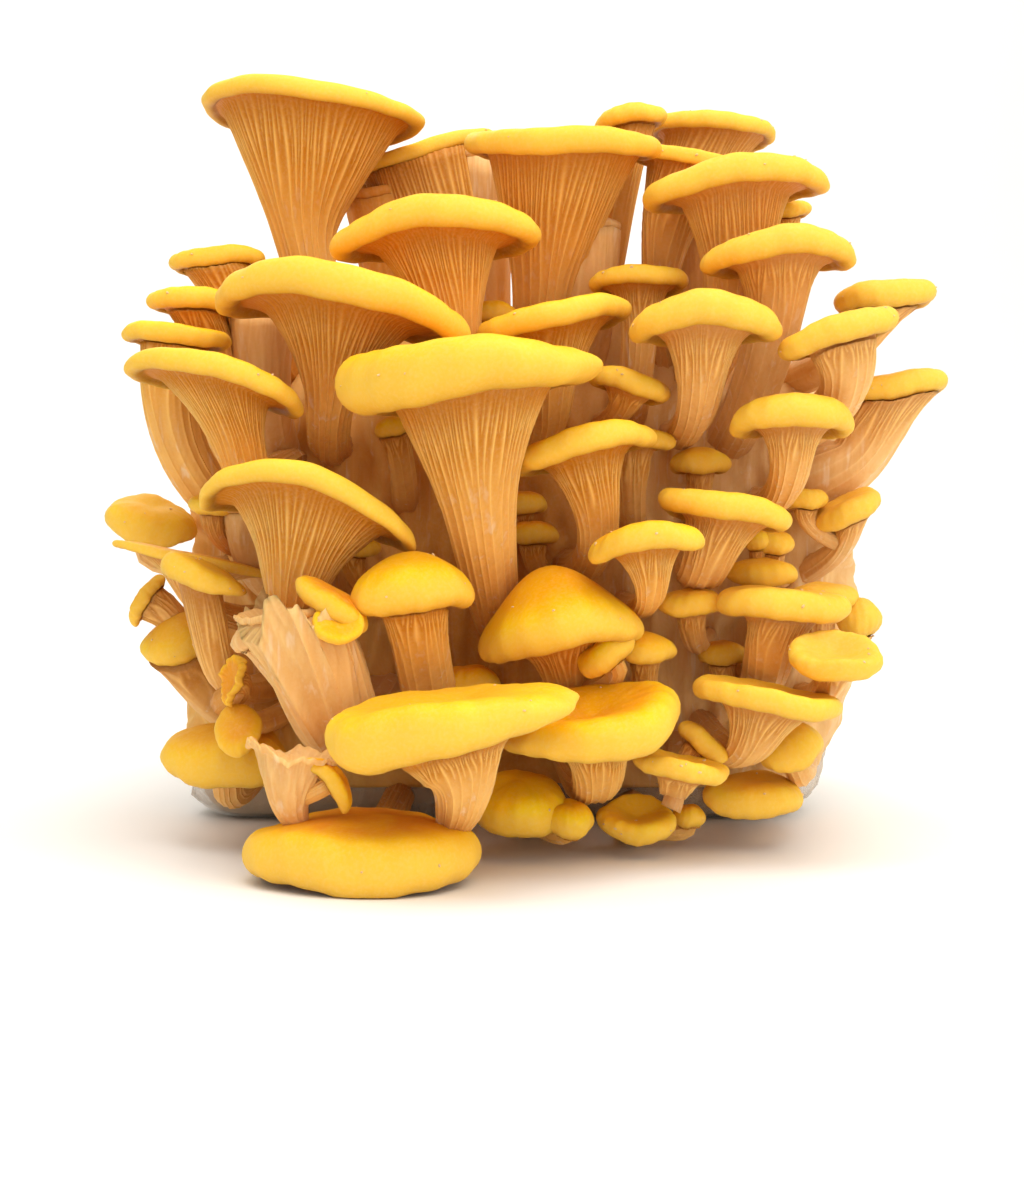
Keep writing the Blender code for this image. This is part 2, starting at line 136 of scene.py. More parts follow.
class Sheet:
    """A material's node sheet."""

    def __init__(self, name: str) -> None:
        """Starts a new material with its Principled shader."""
        self.material = bpy.data.materials.new(name)
        self.material.use_nodes = True
        self.tree = self.material.node_tree
        self.shader = self.tree.nodes["Principled BSDF"]
        self.surface = self.tree.nodes["Material Output"]

    def node(self, kind: str, settings: dict[str, Any], inputs: dict[Any, Any], output: Any = 0) -> Wire:
        """Adds a node.

        Args:
            kind: The node's type.
            settings: Its own settings, and a ramp's stops.
            inputs: Values or wires for its sockets, by name or number.
            output: The output to hand back, by name or number.

        Returns:
            The wire that leaves that output.
        """
        made = self.tree.nodes.new(kind)
        for key, value in settings.items():
            if key == "stops":
                for number, (place, colour) in enumerate(value):
                    elements = made.color_ramp.elements
                    element = elements[number] if number < 2 else elements.new(place)
                    element.position, element.color = place, colour
            else:
                setattr(made, key, value)
        for key, value in inputs.items():
            self.feed(made.inputs[key], value)
        return Wire(self, made.outputs[output])

    def feed(self, socket: bpy.types.NodeSocket, value: Any) -> None:
        """Links a wire to a socket, or sets the socket's own value."""
        if isinstance(value, Wire):
            self.tree.links.new(value.output, socket)
        else:
            socket.default_value = value

    def mix(self, factor: Any, first: Any, second: Any, blend: str = "MIX") -> Wire:
        """Mixes two colours.

        Args:
            factor: How much of the second colour shows.
            first: The first colour or wire.
            second: The second colour or wire.
            blend: How the two are put together.

        Returns:
            The mixed colour.
        """
        settings = {"data_type": "RGBA", "blend_type": blend}
        return self.node("ShaderNodeMix", settings, {0: factor, 6: first, 7: second}, 2)

    def place(self) -> Wire:
        """The object coordinates."""
        return self.node("ShaderNodeTexCoord", {}, {}, "Object")

    def trait(self, name: str) -> Wire:
        """A value that the mesh carries at each point."""
        return self.node("ShaderNodeAttribute", {"attribute_name": name}, {}, "Fac")

    def clouds(self, size: float, detail: float = 4.0, stretch: Sequence[float] = (1, 1, 1)) -> Wire:
        """Soft noise on the object coordinates.

        Args:
            size: The width of one blot in millimetres.
            detail: How many finer layers it has.
            stretch: How much closer the blots lie along each axis.

        Returns:
            A value from 0 to 1.
        """
        scaled = self.node("ShaderNodeMapping", {}, {"Vector": self.place(), "Scale": tuple(stretch)})
        inputs = {"Vector": scaled, "Scale": 1 / (size * MM), "Detail": detail, "Roughness": 0.55}
        return self.node("ShaderNodeTexNoise", {}, inputs, "Fac")

    def bump(self, height: Wire, depth: float) -> None:
        """Gives the surface a relief of a depth in millimetres."""
        bumped = self.node("ShaderNodeBump", {}, {"Height": height, "Distance": depth * MM, "Strength": 1.0})
        self.feed(self.shader.inputs["Normal"], bumped)

    def dress(self, **values: Any) -> None:
        """Feeds the shader's sockets, named with underscores for spaces."""
        for key, value in values.items():
            self.feed(self.shader.inputs[key.replace("_", " ")], value)


# Finishes


@dataclass(frozen=True)
class GoldenFlesh:
    """The mushrooms' skin: yellow cap, amber gills with paler edges, and a peach stem. Painted shade darkens the gills
    near the margin and the margin's underside, a painted reflection pales the margin's lower band, and painted amber
    shade deepens caps and stems that lie in shadow.
    """

    cap_yellow: str = "FFC400"
    cap_light: str = "FFD800"
    cap_orange: str = "F09600"
    cap_cream: str = "F4C258"
    margin_painted_reflection: str = "FCCA4A"
    margin_painted_shade: str = "A8741A"
    gill_painted_shade: str = "BE7404"
    gill_mid: str = "DA942C"
    gill_pale: str = "F8C468"
    streak_white: str = "FBE6C4"
    stem_peach: str = "F2CC98"
    # Amber: painted shade on stems that lie deep in the flush.
    amber: str = "D88A1C"
    stem_light: str = "FCC66C"
    stem_dark: str = "DA963C"
    stem_foot: str = "CA8E4A"

    def material(self) -> bpy.types.Material:
        """Builds the node material.

        Returns:
            The finished material.
        """
        sheet = Sheet("golden_flesh_skin")
        along, ridge = sheet.trait("along"), sheet.trait("ridge")
        pale, warm_and_shade = sheet.trait("pale"), sheet.trait("warm_and_shade")
        soft, fine = sheet.clouds(9.0, 3.0), sheet.clouds(0.9, 5.0)
        streaks = sheet.clouds(2.6, 3.0, (1, 1, 0.07))
        cap = sheet.mix(soft.step(0.35, 0.7), tint(self.cap_yellow), tint(self.cap_light))
        # Deeper orange towards the crown is the caps' own tone; where the warmth is high it is also painted shade on
        # caps that lie in shadow.
        centre = along.step(2.14, 2.6) * (0.4 + warm_and_shade) + warm_and_shade * 0.4
        cap = sheet.mix(centre * (0.35 + soft.step(0.2, 0.7) * 0.65), cap, tint(self.cap_orange))
        cap = sheet.mix(pale * 0.8, cap, tint(self.cap_cream))
        # The margin's lower band turns cream: painted reflection of the pale floor.
        side = sheet.mix(0.85 - along.step(2.02, 2.3) * 0.85, cap, tint(self.margin_painted_reflection))
        # The lowest edge of the band, rolled under the margin, turns olive: painted shade.
        side = sheet.mix(1 - along.step(1.955, 2.045), side, tint(self.margin_painted_shade))
        # The gills darken from the neck out to the margin: painted shade under the rolled margin.
        deep = sheet.mix(along.step(1.05, 1.8), tint(self.gill_mid), tint(self.gill_painted_shade))
        gill = sheet.mix(ridge.step(0.15, 1.0) * (1 - along.step(1.5, 1.85) * 0.9), deep, tint(self.gill_pale))
        stem = sheet.mix(along.step(0.0, 0.7), tint(self.stem_foot), tint(self.stem_light))
        stem = sheet.mix(pale * 0.85, stem, tint(self.stem_peach))
        stem = sheet.mix(streaks.step(0.4, 0.65) * 0.25 + (1 - ridge) * 0.25, stem, tint(self.stem_dark))
        stem = sheet.mix(streaks.step(0.56, 0.74) * 0.5, stem, tint(self.streak_white))
        # Amber on the stems where the warmth is high: painted shade under the crown and in the hollows between stems.
        stem = sheet.mix(warm_and_shade.step(0.5, 1.3), stem, tint(self.amber))
        under = sheet.mix(along.step(0.75, 1.5), stem, sheet.mix(pale * 0.3, gill, tint(self.stem_peach)))
        whole = sheet.mix(along.step(1.93, 1.965), under, side)
        whole = sheet.mix(fine.step(0.35, 0.8) * 0.08, whole, (1.0, 0.9, 0.66, 1.0))
        sheet.bump(fine * 0.45 + soft * 0.6 + streaks * 0.3, 0.14)
        sheet.dress(
            Base_Color=whole,
            Roughness=0.42 + fine * 0.18,
            Subsurface_Weight=0.16,
            Subsurface_Radius=(1.0, 0.55, 0.2),
            Subsurface_Scale=0.0025,
            Specular_IOR_Level=0.15,
        )
        return sheet.material


@dataclass(frozen=True)
class ColonisedSawdust:
    """Brown sawdust that white mycelium has grown through."""

    wood: str = "A0703E"
    dark: str = "6E4624"
    mycelium: str = "F0E2C6"
    foot: str = "B4906C"

    def material(self) -> bpy.types.Material:
        """Builds the node material.

        Returns:
            The finished material.
        """
        sheet = Sheet("sawdust_and_mycelium")
        blots, crumb, threads = sheet.clouds(14.0, 5.0), sheet.clouds(1.6, 6.0), sheet.clouds(4.0, 8.0)
        wood = sheet.mix(crumb.step(0.35, 0.65), tint(self.dark), tint(self.wood))
        grown = (blots * 0.6 + threads * 0.5).step(0.44, 0.66)
        height = sheet.node("ShaderNodeSeparateXYZ", {}, {0: sheet.place()}, "Z")
        whole = sheet.mix(grown, wood, tint(self.mycelium))
        whole = sheet.mix(1 - height.step(0.010, 0.016), whole, tint(self.foot))
        sheet.bump(crumb * 0.7 + threads, 0.7)
        sheet.dress(
            Base_Color=whole,
            Roughness=0.75 + crumb * 0.2,
        )
        return sheet.material


@dataclass(frozen=True)
class ClearFilm:
    """Thin clear plastic film."""

    colour: str = "EDE0CC"
    opacity: float = 0.2

    def material(self) -> bpy.types.Material:
        """Builds the node material.

        Returns:
            The finished material.
        """
        sheet = Sheet("clear_film_skin")
        creases = sheet.clouds(7.0, 6.0, (1, 1, 0.6))
        haze = sheet.clouds(25.0, 3.0)
        folded = sheet.trait("folded")
        sheet.bump(creases, 0.35)
        sheet.dress(
            Base_Color=tint(self.colour),
            Roughness=0.08 + haze * 0.16,
            Alpha=self.opacity + creases.step(0.5, 0.8) * 0.12 + folded * 0.6,
            Coat_Weight=0.8,
        )
        return sheet.material


@dataclass(frozen=True)
class PaleFloor:
    """The studio's plain floor and sweep."""

    colour: str = "F7F5F1"

    def material(self) -> bpy.types.Material:
        """Builds the node material."""
        sheet = Sheet("pale_floor")
        sheet.dress(Base_Color=tint(self.colour), Roughness=0.9, Specular_IOR_Level=0.1)
        return sheet.material


# The view that the flush is laid out in


@dataclass(frozen=True)
class View:
    """The eye that the flush is looked at from. It turns a pixel of a 1024 by 1184 picture into a line of sight."""

    eye: tuple[float, float, float] = (-3.5, -559.0, 87.7)
    pitch: float = 2.4
    focal_pixels: float = 1747.0
    width: float = 1024.0
    height: float = 1184.0

    def seen_at(self, pixel: tuple[float, float], ahead: float) -> np.ndarray:
        """Finds the point on a pixel's line of sight that lies so far ahead of the block's front.

        Args:
            pixel: Across and down in the picture.
            ahead: The distance ahead of the block's front face.

        Returns:
            The point.
        """
        across = (pixel[0] - self.width / 2) / self.focal_pixels
        up = (self.height / 2 - pixel[1]) / self.focal_pixels
        tilt = math.radians(self.pitch)
        sight = np.array([across, math.cos(tilt) + up * math.sin(tilt), up * math.cos(tilt) - math.sin(tilt)])
        return np.array(self.eye) + sight * ((FRONT_FACE - ahead - self.eye[1]) / sight[1])

    def add_camera(self) -> None:
        """Makes the scene's camera."""
        data = bpy.data.cameras.new("photo_view")
        data.sensor_width = 36.0
        data.lens = self.focal_pixels * data.sensor_width / self.height
        data.clip_start = 0.01
        camera = bpy.data.objects.new("photo_view", data)
        camera.location = Vector(self.eye) * MM
        camera.rotation_euler = (math.radians(90 - self.pitch), 0, 0)
        bpy.context.scene.collection.objects.link(camera)
        bpy.context.scene.camera = camera


# Mesh helpers


def add_piece(name: str, data: bpy.types.Mesh, material: bpy.types.Material) -> bpy.types.Object:
    """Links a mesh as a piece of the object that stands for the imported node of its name.

    Args:
        name: The node's name.
        data: The mesh, in metres.
        material: Its finish.

    Returns:
        The piece.
    """
    data.materials.append(material)
    piece = bpy.data.objects.new(name + "_skin", data)
    bpy.context.scene.collection.objects.link(piece)
    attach(piece, "root")
    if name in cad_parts:
        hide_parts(name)
    return piece


def finish_mesh(name: str, mesh: bmesh.types.BMesh) -> bpy.types.Mesh:
    """Turns a bmesh in millimetres into a smooth shaded mesh in metres."""
    bmesh.ops.scale(mesh, vec=(MM, MM, MM), verts=mesh.verts)
    bmesh.ops.recalc_face_normals(mesh, faces=mesh.faces)
    data = bpy.data.meshes.new(name)
    mesh.to_mesh(data)
    mesh.free()
    data.shade_smooth()
    return data


# The block and its film


@dataclass
class SubstrateBlock:
    """The sawdust block: rounded, a little slumped, and rough where the mushrooms come out."""

    width: float = 184.0
    depth: float = 118.0
    height: float = 122.0
    upright_corner: float = 16.0
    level_corner: float = 9.0
    slump_height: float = 46.0
    left_slump: float = 5.0
    right_slump: float = -12.0
    film: float = 1.0
    gap: float = 0.3
    sure_footing: float = 4.0
    roughness: float = 1.6

    def form(self, outset: float, low: float, high: float, fineness: int) -> bmesh.types.BMesh:
        """Makes the block's form, grown outwards, between two heights.

        Args:
            outset: How far its sides stand out from the block's.
            low: The height of its underside.
            high: The height of its top.
            fineness: How many cuts each face gets.

        Returns:
            The mesh, in millimetres.
        """
        mesh = bmesh.new()
        bmesh.ops.create_cube(mesh, size=1.0)
        bmesh.ops.scale(mesh, vec=(self.width + 2 * outset, self.depth + 2 * outset, high - low), verts=mesh.verts)
        bmesh.ops.translate(mesh, vec=(0, 0, (low + high) / 2), verts=mesh.verts)
        upright = [edge for edge in mesh.edges if abs(edge.verts[0].co.z - edge.verts[1].co.z) > outset + 1]
        bmesh.ops.bevel(mesh, geom=upright, offset=self.upright_corner + outset, segments=6, profile=0.5,
                        affect="EDGES", material=-1)
        level = [edge for edge in mesh.edges if abs(edge.verts[0].co.z - edge.verts[1].co.z) < 1e-3]
        bmesh.ops.bevel(mesh, geom=level, offset=self.level_corner + outset, segments=4, profile=0.5,
                        affect="EDGES", material=-1)
        bmesh.ops.triangulate(mesh, faces=[face for face in mesh.faces if len(face.verts) > 4])
        for _ in range(fineness):
            long_edges = [edge for edge in mesh.edges if edge.calc_length() > 2.2]
            bmesh.ops.subdivide_edges(mesh, edges=long_edges, cuts=1, use_grid_fill=True)
        for vert in mesh.verts:
            slump = self.right_slump if vert.co.x > 0 else -self.left_slump
            sideways = min(1.0, abs(vert.co.x) / (self.width / 2))
            vert.co.x += slump * sideways * max(0.0, 1 - vert.co.z / self.slump_height)
        return mesh

    def build(self, finish: bpy.types.Material) -> bpy.types.Object:
        """Builds the block with its crumbly faces.

        Args:
            finish: Its material.

        Returns:
            The piece.
        """
        low = self.film + self.gap
        mesh = self.form(0.0, low, low + self.height, 6)
        mesh.normal_update()
        for vert in mesh.verts:
            if vert.co.z > low + 0.5:
                lumps = noise.fractal(vert.co / 9.0, 0.9, 2.1, 4)
                vert.co -= vert.normal * self.roughness * (0.5 - 0.5 * lumps)
        return add_piece("substrate_block", finish_mesh("substrate_block", mesh), finish)


@dataclass
class FusedBase:
    """The flesh that the stems have grown together in, over the open front of the block."""

    block: SubstrateBlock = field(default_factory=SubstrateBlock)
    edge_at_base: float = 12.0
    edge_at_top: float = 50.0
    lowest: float = 10.0
    stands_out: float = 1.2
    fold_depth: float = 7.0
    crest_height: float = 27.0
    crest_half_width: float = 80.0
    crest_inward: float = 24.0
    wander: float = 9.0

    def build(self, finish: bpy.types.Material) -> bpy.types.Object:
        """Builds the flesh with its upright folds.

        Args:
            finish: Its material.

        Returns:
            The piece.
        """
        block = self.block
        front = -block.depth / 2
        low = block.film + block.gap
        mesh = block.form(self.stands_out, low, low + block.height + self.stands_out, 7)
        low_edge = Vector((0, front + self.edge_at_base, 0))
        high_edge = Vector((0, front + self.edge_at_top, low + block.height))
        facing = Vector((1, 0, 0)).cross((high_edge - low_edge).normalized())
        bmesh.ops.bisect_plane(mesh, geom=mesh.verts[:] + mesh.edges[:] + mesh.faces[:],
                               plane_co=Vector((0, 0, self.lowest)), plane_no=Vector((0, 0, -1)), clear_outer=True)
        inside = {vert: (vert.co - low_edge).dot(facing) - self.waver(vert.co) for vert in mesh.verts}
        beyond = [vert for vert in mesh.verts if inside[vert] < 0]
        mesh.normal_update()
        for vert in mesh.verts:
            lifted = self.crest(vert.co)
            vert.co += vert.normal * self.fold_height(vert) * self.near_edge(inside[vert])
            vert.co.z += lifted
        bmesh.ops.delete(mesh, geom=beyond, context="VERTS")
        for _ in range(3):
            bmesh.ops.smooth_vert(mesh, verts=mesh.verts, factor=0.5, use_axis_x=True, use_axis_y=True, use_axis_z=True)
        bmesh.ops.solidify(mesh, geom=mesh.faces[:], thickness=1.0)
        piece = bpy.data.objects.new("fused_base", finish_mesh("fused_base", mesh))
        bpy.context.scene.collection.objects.link(piece)
        data = piece.data
        data.materials.append(finish)
        places = np.array([vert.co for vert in data.vertices]) / MM
        heights = [noise.fractal(self.along_folds(Vector(place)), 0.7, 2.2, 4) for place in places]
        for name, values in (
            ("along", np.full(len(places), 0.8)),
            ("ridge", np.clip(0.5 + 0.9 * np.array(heights), 0, 1)),
            ("pale", np.clip(0.35 + places[:, 0] / 130, 0.15, 0.85)),
            # The warmth is highest at the middle of the front: painted amber shade in the hollow between the stems.
            ("warm_and_shade", 0.35 + 0.7 * np.exp(-(((places[:, 0] + 5) / 48) ** 2)) * (places[:, 1] < front + 8)),
        ):
            trait = data.attributes.new(name, "FLOAT", "POINT")
            trait.data.foreach_set("value", values.astype(np.float32))
        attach(piece, "root")
        return piece

    def waver(self, place: Vector) -> float:
        """How far the flesh's edge wanders from its straight line."""
        return self.wander * noise.fractal(place / 19, 0.7, 2.1, 3) - self.wander * 0.5

    @staticmethod
    def near_edge(inside: float) -> float:
        """How much of the folds stands this far inside the flesh's cut edge, from 0 on it to 1."""
        share = min(1.0, max(0.0, inside / 16))
        return share * share * (3 - 2 * share)

    def crest(self, place: Vector) -> float:
        """How far the flesh rises over the top of the block, where the tallest stems have grown together."""
        if place.z < self.block.height - 4:
            return 0.0
        aside = max(0.0, 1 - (place.x / self.crest_half_width) ** 6)
        inward = (place.y + self.block.depth / 2 - self.crest_inward) / 17
        uneven = 0.75 + 0.6 * noise.noise(Vector((place.x / 13, 3.0, 0.0)))
        return self.crest_height * aside * max(0.0, 1 - inward**4) * uneven

    @staticmethod
    def along_folds(place: Vector) -> Vector:
        """The place in the folds' own noise, which is drawn out upwards."""
        lean = 0.25 * place.x * place.z / 122
        return Vector(((place.x - lean) / 8.5, place.y / 14, place.z / 42))

    def fold_height(self, vert: bmesh.types.BMVert) -> float:
        """How far the flesh stands out at a point."""
        fold = 1 - abs(noise.fractal(self.along_folds(vert.co), 0.7, 2.2, 4)) * 2.2
        fine = noise.noise(vert.co / 3.5) * 0.5
        tucked = min(1.0, max(0.0, (vert.co.z - self.lowest) / 12))
        return (max(0.0, fold) * self.fold_depth + fine) * tucked


@dataclass
class FilmBag:
    """The clear film round the block's back, sides, base and top, cut open at the front."""

    block: SubstrateBlock = field(default_factory=SubstrateBlock)
    edge_at_base: float = 18.0
    edge_at_top: float = 52.0
    lip_height: float = 12.0
    fold_length: float = 128.0
    fold_profile: tuple[tuple[float, float], ...] = (
        (-13, -0.5), (-9, 1.2), (-2, 2.2), (7, 2.6), (10, 3.3), (9.6, 4.2), (6, 4.6), (-6, 4.3), (-9, 4.9),
        (-8.6, 5.7), (-4, 6.1), (8, 5.7),
    )
    fold_steps: int = 90
    crumple: float = 2.1
    flap_reach: float = 12.0
    flap_height: float = 4.0
    thickness: float = 0.25

    def build(self, finish: bpy.types.Material) -> bpy.types.Object:
        """Builds the film and its folded top.

        Args:
            finish: Its material.

        Returns:
            The piece.
        """
        block = self.block
        front = -block.depth / 2
        top = block.film + block.gap + block.height
        mesh = block.form(block.gap + 0.3, 0.35, top + block.gap + 0.3, 6)
        opening_low = Vector((0, front + self.edge_at_base, 0))
        opening_high = Vector((0, front + self.edge_at_top, top))
        facing = Vector((1, 0, 0)).cross((opening_high - opening_low).normalized())
        lip = Vector((0, 0, self.lip_height))
        for place, out in ((opening_low, facing), (lip, Vector((0, 0, 1)))):
            bmesh.ops.bisect_plane(mesh, geom=mesh.verts[:] + mesh.edges[:] + mesh.faces[:], plane_co=place,
                                   plane_no=out)
        opened = [face for face in mesh.faces if face.calc_center_median().z > self.lip_height
                  and (face.calc_center_median() - opening_low).dot(facing) > 0]
        bmesh.ops.delete(mesh, geom=opened, context="FACES")
        mesh.normal_update()
        folded = mesh.verts.layers.float.new("folded")
        for vert in mesh.verts:
            crease = self.crease(vert.co)
            flat = min(1.0, max(0.0, (vert.co.z - 1.0) / 6.0))
            from_edge = max(0.0, 1 - abs((vert.co - opening_low).dot(facing)) / self.flap_reach)
            flap = self.flap_height * from_edge**2 * (0.7 + noise.noise(vert.co / 13))
            vert.co += vert.normal * (self.crumple * crease + flap) * flat
            vert[folded] = 0.5 * crease + 0.4 * from_edge**2
        bmesh.ops.solidify(mesh, geom=mesh.faces[:], thickness=self.thickness)
        top_fold = self.folded_top(block.depth / 2 - 30.0, top + block.gap + 0.8)
        mesh.from_mesh(top_fold)
        bpy.data.meshes.remove(top_fold)
        return add_piece("grow_bag", finish_mesh("grow_bag", mesh), finish)

    def crease(self, place: Vector) -> float:
        """How far the film is creased up at a point, from 0 to about 1."""
        long = noise.fractal(Vector((place.x / 34, place.y / 34, place.z / 60 + 5)), 0.6, 2.1, 4)
        short = noise.fractal(Vector((place.x / 12, place.y / 12, place.z / 17)), 0.8, 2.0, 4)
        ridges = 0.75 * max(0.0, 1 - abs(long) * 8) + 0.35 * max(0.0, 1 - abs(short) * 4)
        if place.z > self.block.height:
            back = place.y - (self.block.depth / 2 - 30.0)
            past = abs(place.x) - self.fold_length / 2
            ridges += 0.9 * math.exp(-(((abs(back) - 1.1 * past) / 1.6) ** 2)) * (past > -6)
        return ridges

    def folded_top(self, middle: float, height: float) -> bpy.types.Mesh:
        """Makes the film's gathered top: its profile drawn out along the bag and folded over flat.

        Args:
            middle: How far back the fold lies.
            height: The height that it rests at.

        Returns:
            The mesh, in millimetres.
        """
        mesh = bmesh.new()
        profile = [mesh.verts.new((-self.fold_length / 2, middle + y, height + z)) for y, z in self.fold_profile]
        leading = [mesh.edges.new(pair) for pair in zip(profile, profile[1:])]
        for _ in range(self.fold_steps):
            drawn = bmesh.ops.extrude_edge_only(mesh, edges=leading)["geom"]
            leading = [part for part in drawn if isinstance(part, bmesh.types.BMEdge)]
            verts = [part for part in drawn if isinstance(part, bmesh.types.BMVert)]
            bmesh.ops.translate(mesh, vec=(self.fold_length / self.fold_steps, 0, 0), verts=verts)
        mesh.normal_update()
        bmesh.ops.subdivide_edges(mesh, edges=[edge for edge in mesh.edges if edge.calc_length() > 2.5], cuts=2,
                                  use_grid_fill=True)
        folded = mesh.verts.layers.float.new("folded")
        for vert in mesh.verts:
            high = max(0.0, vert.co.z - height)
            wave = noise.fractal(Vector((vert.co.x / 14, vert.co.y / 20, 2.0)), 0.8, 2.1, 4)
            vert.co.y += 1.4 * wave + 2.0 * (vert.co.x / self.fold_length * 2) ** 4 * wave
            vert.co.z += 0.12 * high * wave
            vert[folded] = 0.5
        bmesh.ops.solidify(mesh, geom=mesh.faces[:], thickness=self.thickness)
        data = bpy.data.meshes.new("folded_top")
        mesh.to_mesh(data)
        mesh.free()
        return data


BLOCK = SubstrateBlock()
FRONT_FACE = -BLOCK.depth / 2
TOP_FACE = BLOCK.film + BLOCK.gap + BLOCK.height
VIEW = View()


# The mushrooms


class Root(NamedTuple):
    """Where a stem leaves what carries it, and which way it sets off."""

    place: np.ndarray
    heading: np.ndarray


def on_front(x: float, z: float) -> Root:
    """A root on the open front of the block, which curves back at its upright corners.

    Args:
        x: Its place across.
        z: Its height.

    Returns:
        The root.
    """
    past_flat = max(0.0, abs(x) - BLOCK.sure_footing - (BLOCK.width / 2 - BLOCK.upright_corner))
    recess = BLOCK.upright_corner - math.sqrt(BLOCK.upright_corner**2 - past_flat**2)
    return Root(np.array([x, FRONT_FACE + recess, z]), np.array([0.0, -1.0, 0.0]))


def on_top(x: float, inward: float) -> Root:
    """A root on the top of the block, so far in from its front face."""
    return Root(np.array([x, FRONT_FACE + inward, TOP_FACE]), np.array([0.0, 0.0, 1.0]))


def on_cap(pixel: tuple[float, float], ahead: float) -> Root:
    """A root that stands straight up at a pixel's line of sight."""
    return Root(VIEW.seen_at(pixel, ahead), np.array([0.0, 0.0, 1.0]))


@dataclass(frozen=True)
class Mushroom:
    """One mushroom: stem, gilled underside and cap.

    The middle of the cap is seen at a pixel, so far ahead of the block's front face. It is so wide, so deep
    and has a rolled margin of a height called rim. The drop goes from its middle down to the neck, where
    the stem begins. Back and right are the degrees that the cap leans. Dome is the height of the middle
    above the margin, and arch is how far the left and right ends hang below the middle. A flare of 1 is a
    straight cone under the cap and more is a trumpet. The stem stands behind the middle by a share of half
    the depth, inward, and to the right by aside. Bend is how far it holds its first and last headings. Roll
    is how round the margin is rolled, 1 for a full round.
    """

    name: str
    at: tuple[float, float]
    ahead: float
    width: float
    depth: float
    rim: float
    root: Union[Root, str]
    drop: float
    neck: float
    foot: float = 3.0
    back: float = 0.0
    right: float = 0.0
    dome: float = 1.5
    arch: float = 0.0
    flare: float = 1.7
    inward: float = 0.3
    aside: float = 0.0
    bend: float = 0.3
    roll: float = 0.8
    shelf: float = 0.76
    taper: float = 0.0
    curl: float = 0.0
    round: float = 1.1
    ragged: float = 0.0
    gills: float = 1.0
    bare: float = 0.0
    # Orange: how much deeper orange a cap is; partly its own tone, and on caps that lie in shadow painted shade.
    orange: float = 0.0
    dip: float = 0.0


